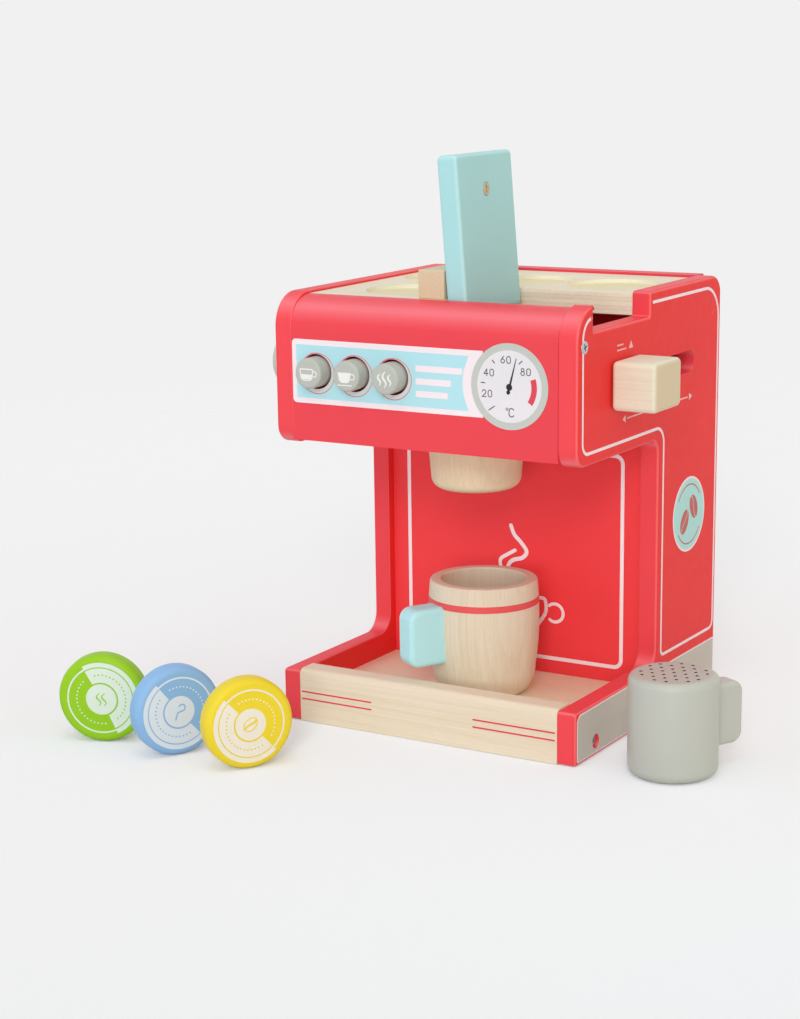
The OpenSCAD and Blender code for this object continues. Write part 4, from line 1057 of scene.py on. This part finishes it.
def drilled(outer, middles, r, top, bottom, sides=16):
    """A flat round face at the top of a turning, with blind round holes in it."""
    loops = [circle(0, 0, outer, 96)] + [circle(m.x, m.y, r, sides) for m in middles]
    spread, triangles, _ = flat_fill([p for loop in loops for p in loop], [len(loop) for loop in loops])
    points, faces, shading = [(p.x, p.y, top) for p in spread], [], []
    for tri in triangles:
        a, b, c = (spread[i] for i in tri)
        faces.append(tuple(tri) if (b - a).cross(c - a) > 0 else tuple(tri[::-1]))
        shading += [(0, 0, 1)] * 3
    for m in middles:
        start = len(points)
        points += [(*p, h) for h in (top, bottom) for p in circle(m.x, m.y, r, sides)]
        for i in range(sides):
            j = (i + 1) % sides
            faces.append((start + j, start + i, start + sides + i, start + sides + j))
            shading += [(-math.cos(2 * math.pi * k / sides), -math.sin(2 * math.pi * k / sides), 0)
                        for k in (j, i, i, j)]
        faces.append(tuple(range(start + sides, start + 2 * sides)))
        shading += [(0, 0, 1)] * sides
    return points, faces, shading


shaker_grey = paint("shaker_grey", "#C0C3BA", rough=0.36, seed=11.0, sheen=0.4)
fit(piece("shaker_turning", standing(*shaker_at), shaker_grey, turning(wall),
          drilled(top_r, holes, hole_r, shaker_h, shaker_h - hole_depth)), "shaker", "grey_paint", "shaker_body")
fit(piece("shaker_grip", upright(*shaker_at, 62), shaker_grey, grip(22.5, 44.8, 12, 49, 14)),
    "shaker", "grey_paint", "shaker_handle")

# ---- Coffee pods ----
# Three turned discs, sprayed green, blue and yellow, stand on their edges. Each face is printed
# with off-white rings and a plain mark. The ink is thin, so the colour under it shows a little.


def dots(r, start, end, step=9, size=0.5):
    """A row of small dots along an arc."""
    return [[circle(p.x, p.y, size, 10)] for p in arc(0, 0, r, start, end, step)]


pod_r, pod_half, pod_round, pod_y, lift = 26.8, 7, 4, -185, 0.007
hub_r, ring_in, ring_out, dots_r = 9.4, 10.4, 19.2, 15
rim_in, rim_out, rim_thin = 19.9, 22.7, 20.9
pod_edge = profile((0, -pod_half, 0), (pod_r, -pod_half, pod_round),
                   (pod_r, pod_half, pod_round), (0, pod_half, 0))
wisps = [wisp(x, -4, 4, 1.3, 0.9) for x in (-1.6, 1.6)]
curl = [stroke([(-2.6, -4.6), (-1.2, -0.6)] + arc(1.6, 2.2, 2.0, -100, 150, 20), 0.9)]
bean_lines = [stroke(loop, 0.6, closed=True) for half in bean(0, 0, 4.6, 3.4, 40) for loop in half]
for colour, code, white_code, turned_by, x, low, high, mark in (
    ("green", "#97CC20", "#DDEADA", 23, -170, -66, 119, wisps),
    ("blue", "#8EBBE8", "#DCE7F3", 60, -117.5, 128, 310, curl),
    ("yellow", "#EFD832", "#F0EBDD", 56.5, -66.5, 133, 312, bean_lines),
):
    pod_place = upright(x, pod_y, pod_r, turned_by)
    body = colour + "_pod"
    coat = paint(colour + "_paint", code, rough=0.4, seed=12.0)
    fit(piece(body + "_disc", pod_place, coat, turning(pod_edge, 128)), body, colour + "_paint", "pod_" + colour)
    white_ink = ink(colour + "_pod_white", white_code)
    white = [
        [circle(0, 0, hub_r, 64)],
        [arc(0, 0, ring_out, low, high, 4) + arc(0, 0, ring_in, high, low, 4)],
        [arc(0, 0, rim_out, low, high, 4) + arc(0, 0, rim_in, high, low, 4)],
        [arc(0, 0, rim_thin, high, low + 360, 4) + arc(0, 0, rim_in, low + 360, high, 4)],
    ] + dots(dots_r, high + 16, low + 344)
    for side, flip in (("front", 0), ("back", math.pi)):
        place = pod_place @ Matrix.Rotation(flip, 4, "Y") @ Matrix.Translation((0, 0, lift))
        printed(body + "_print_" + side, place, white_ink, white, body=body)
        printed(body + "_mark_" + side, place, coat, mark + dots(dots_r, low + 16, high - 16),
                level=1, body=body)
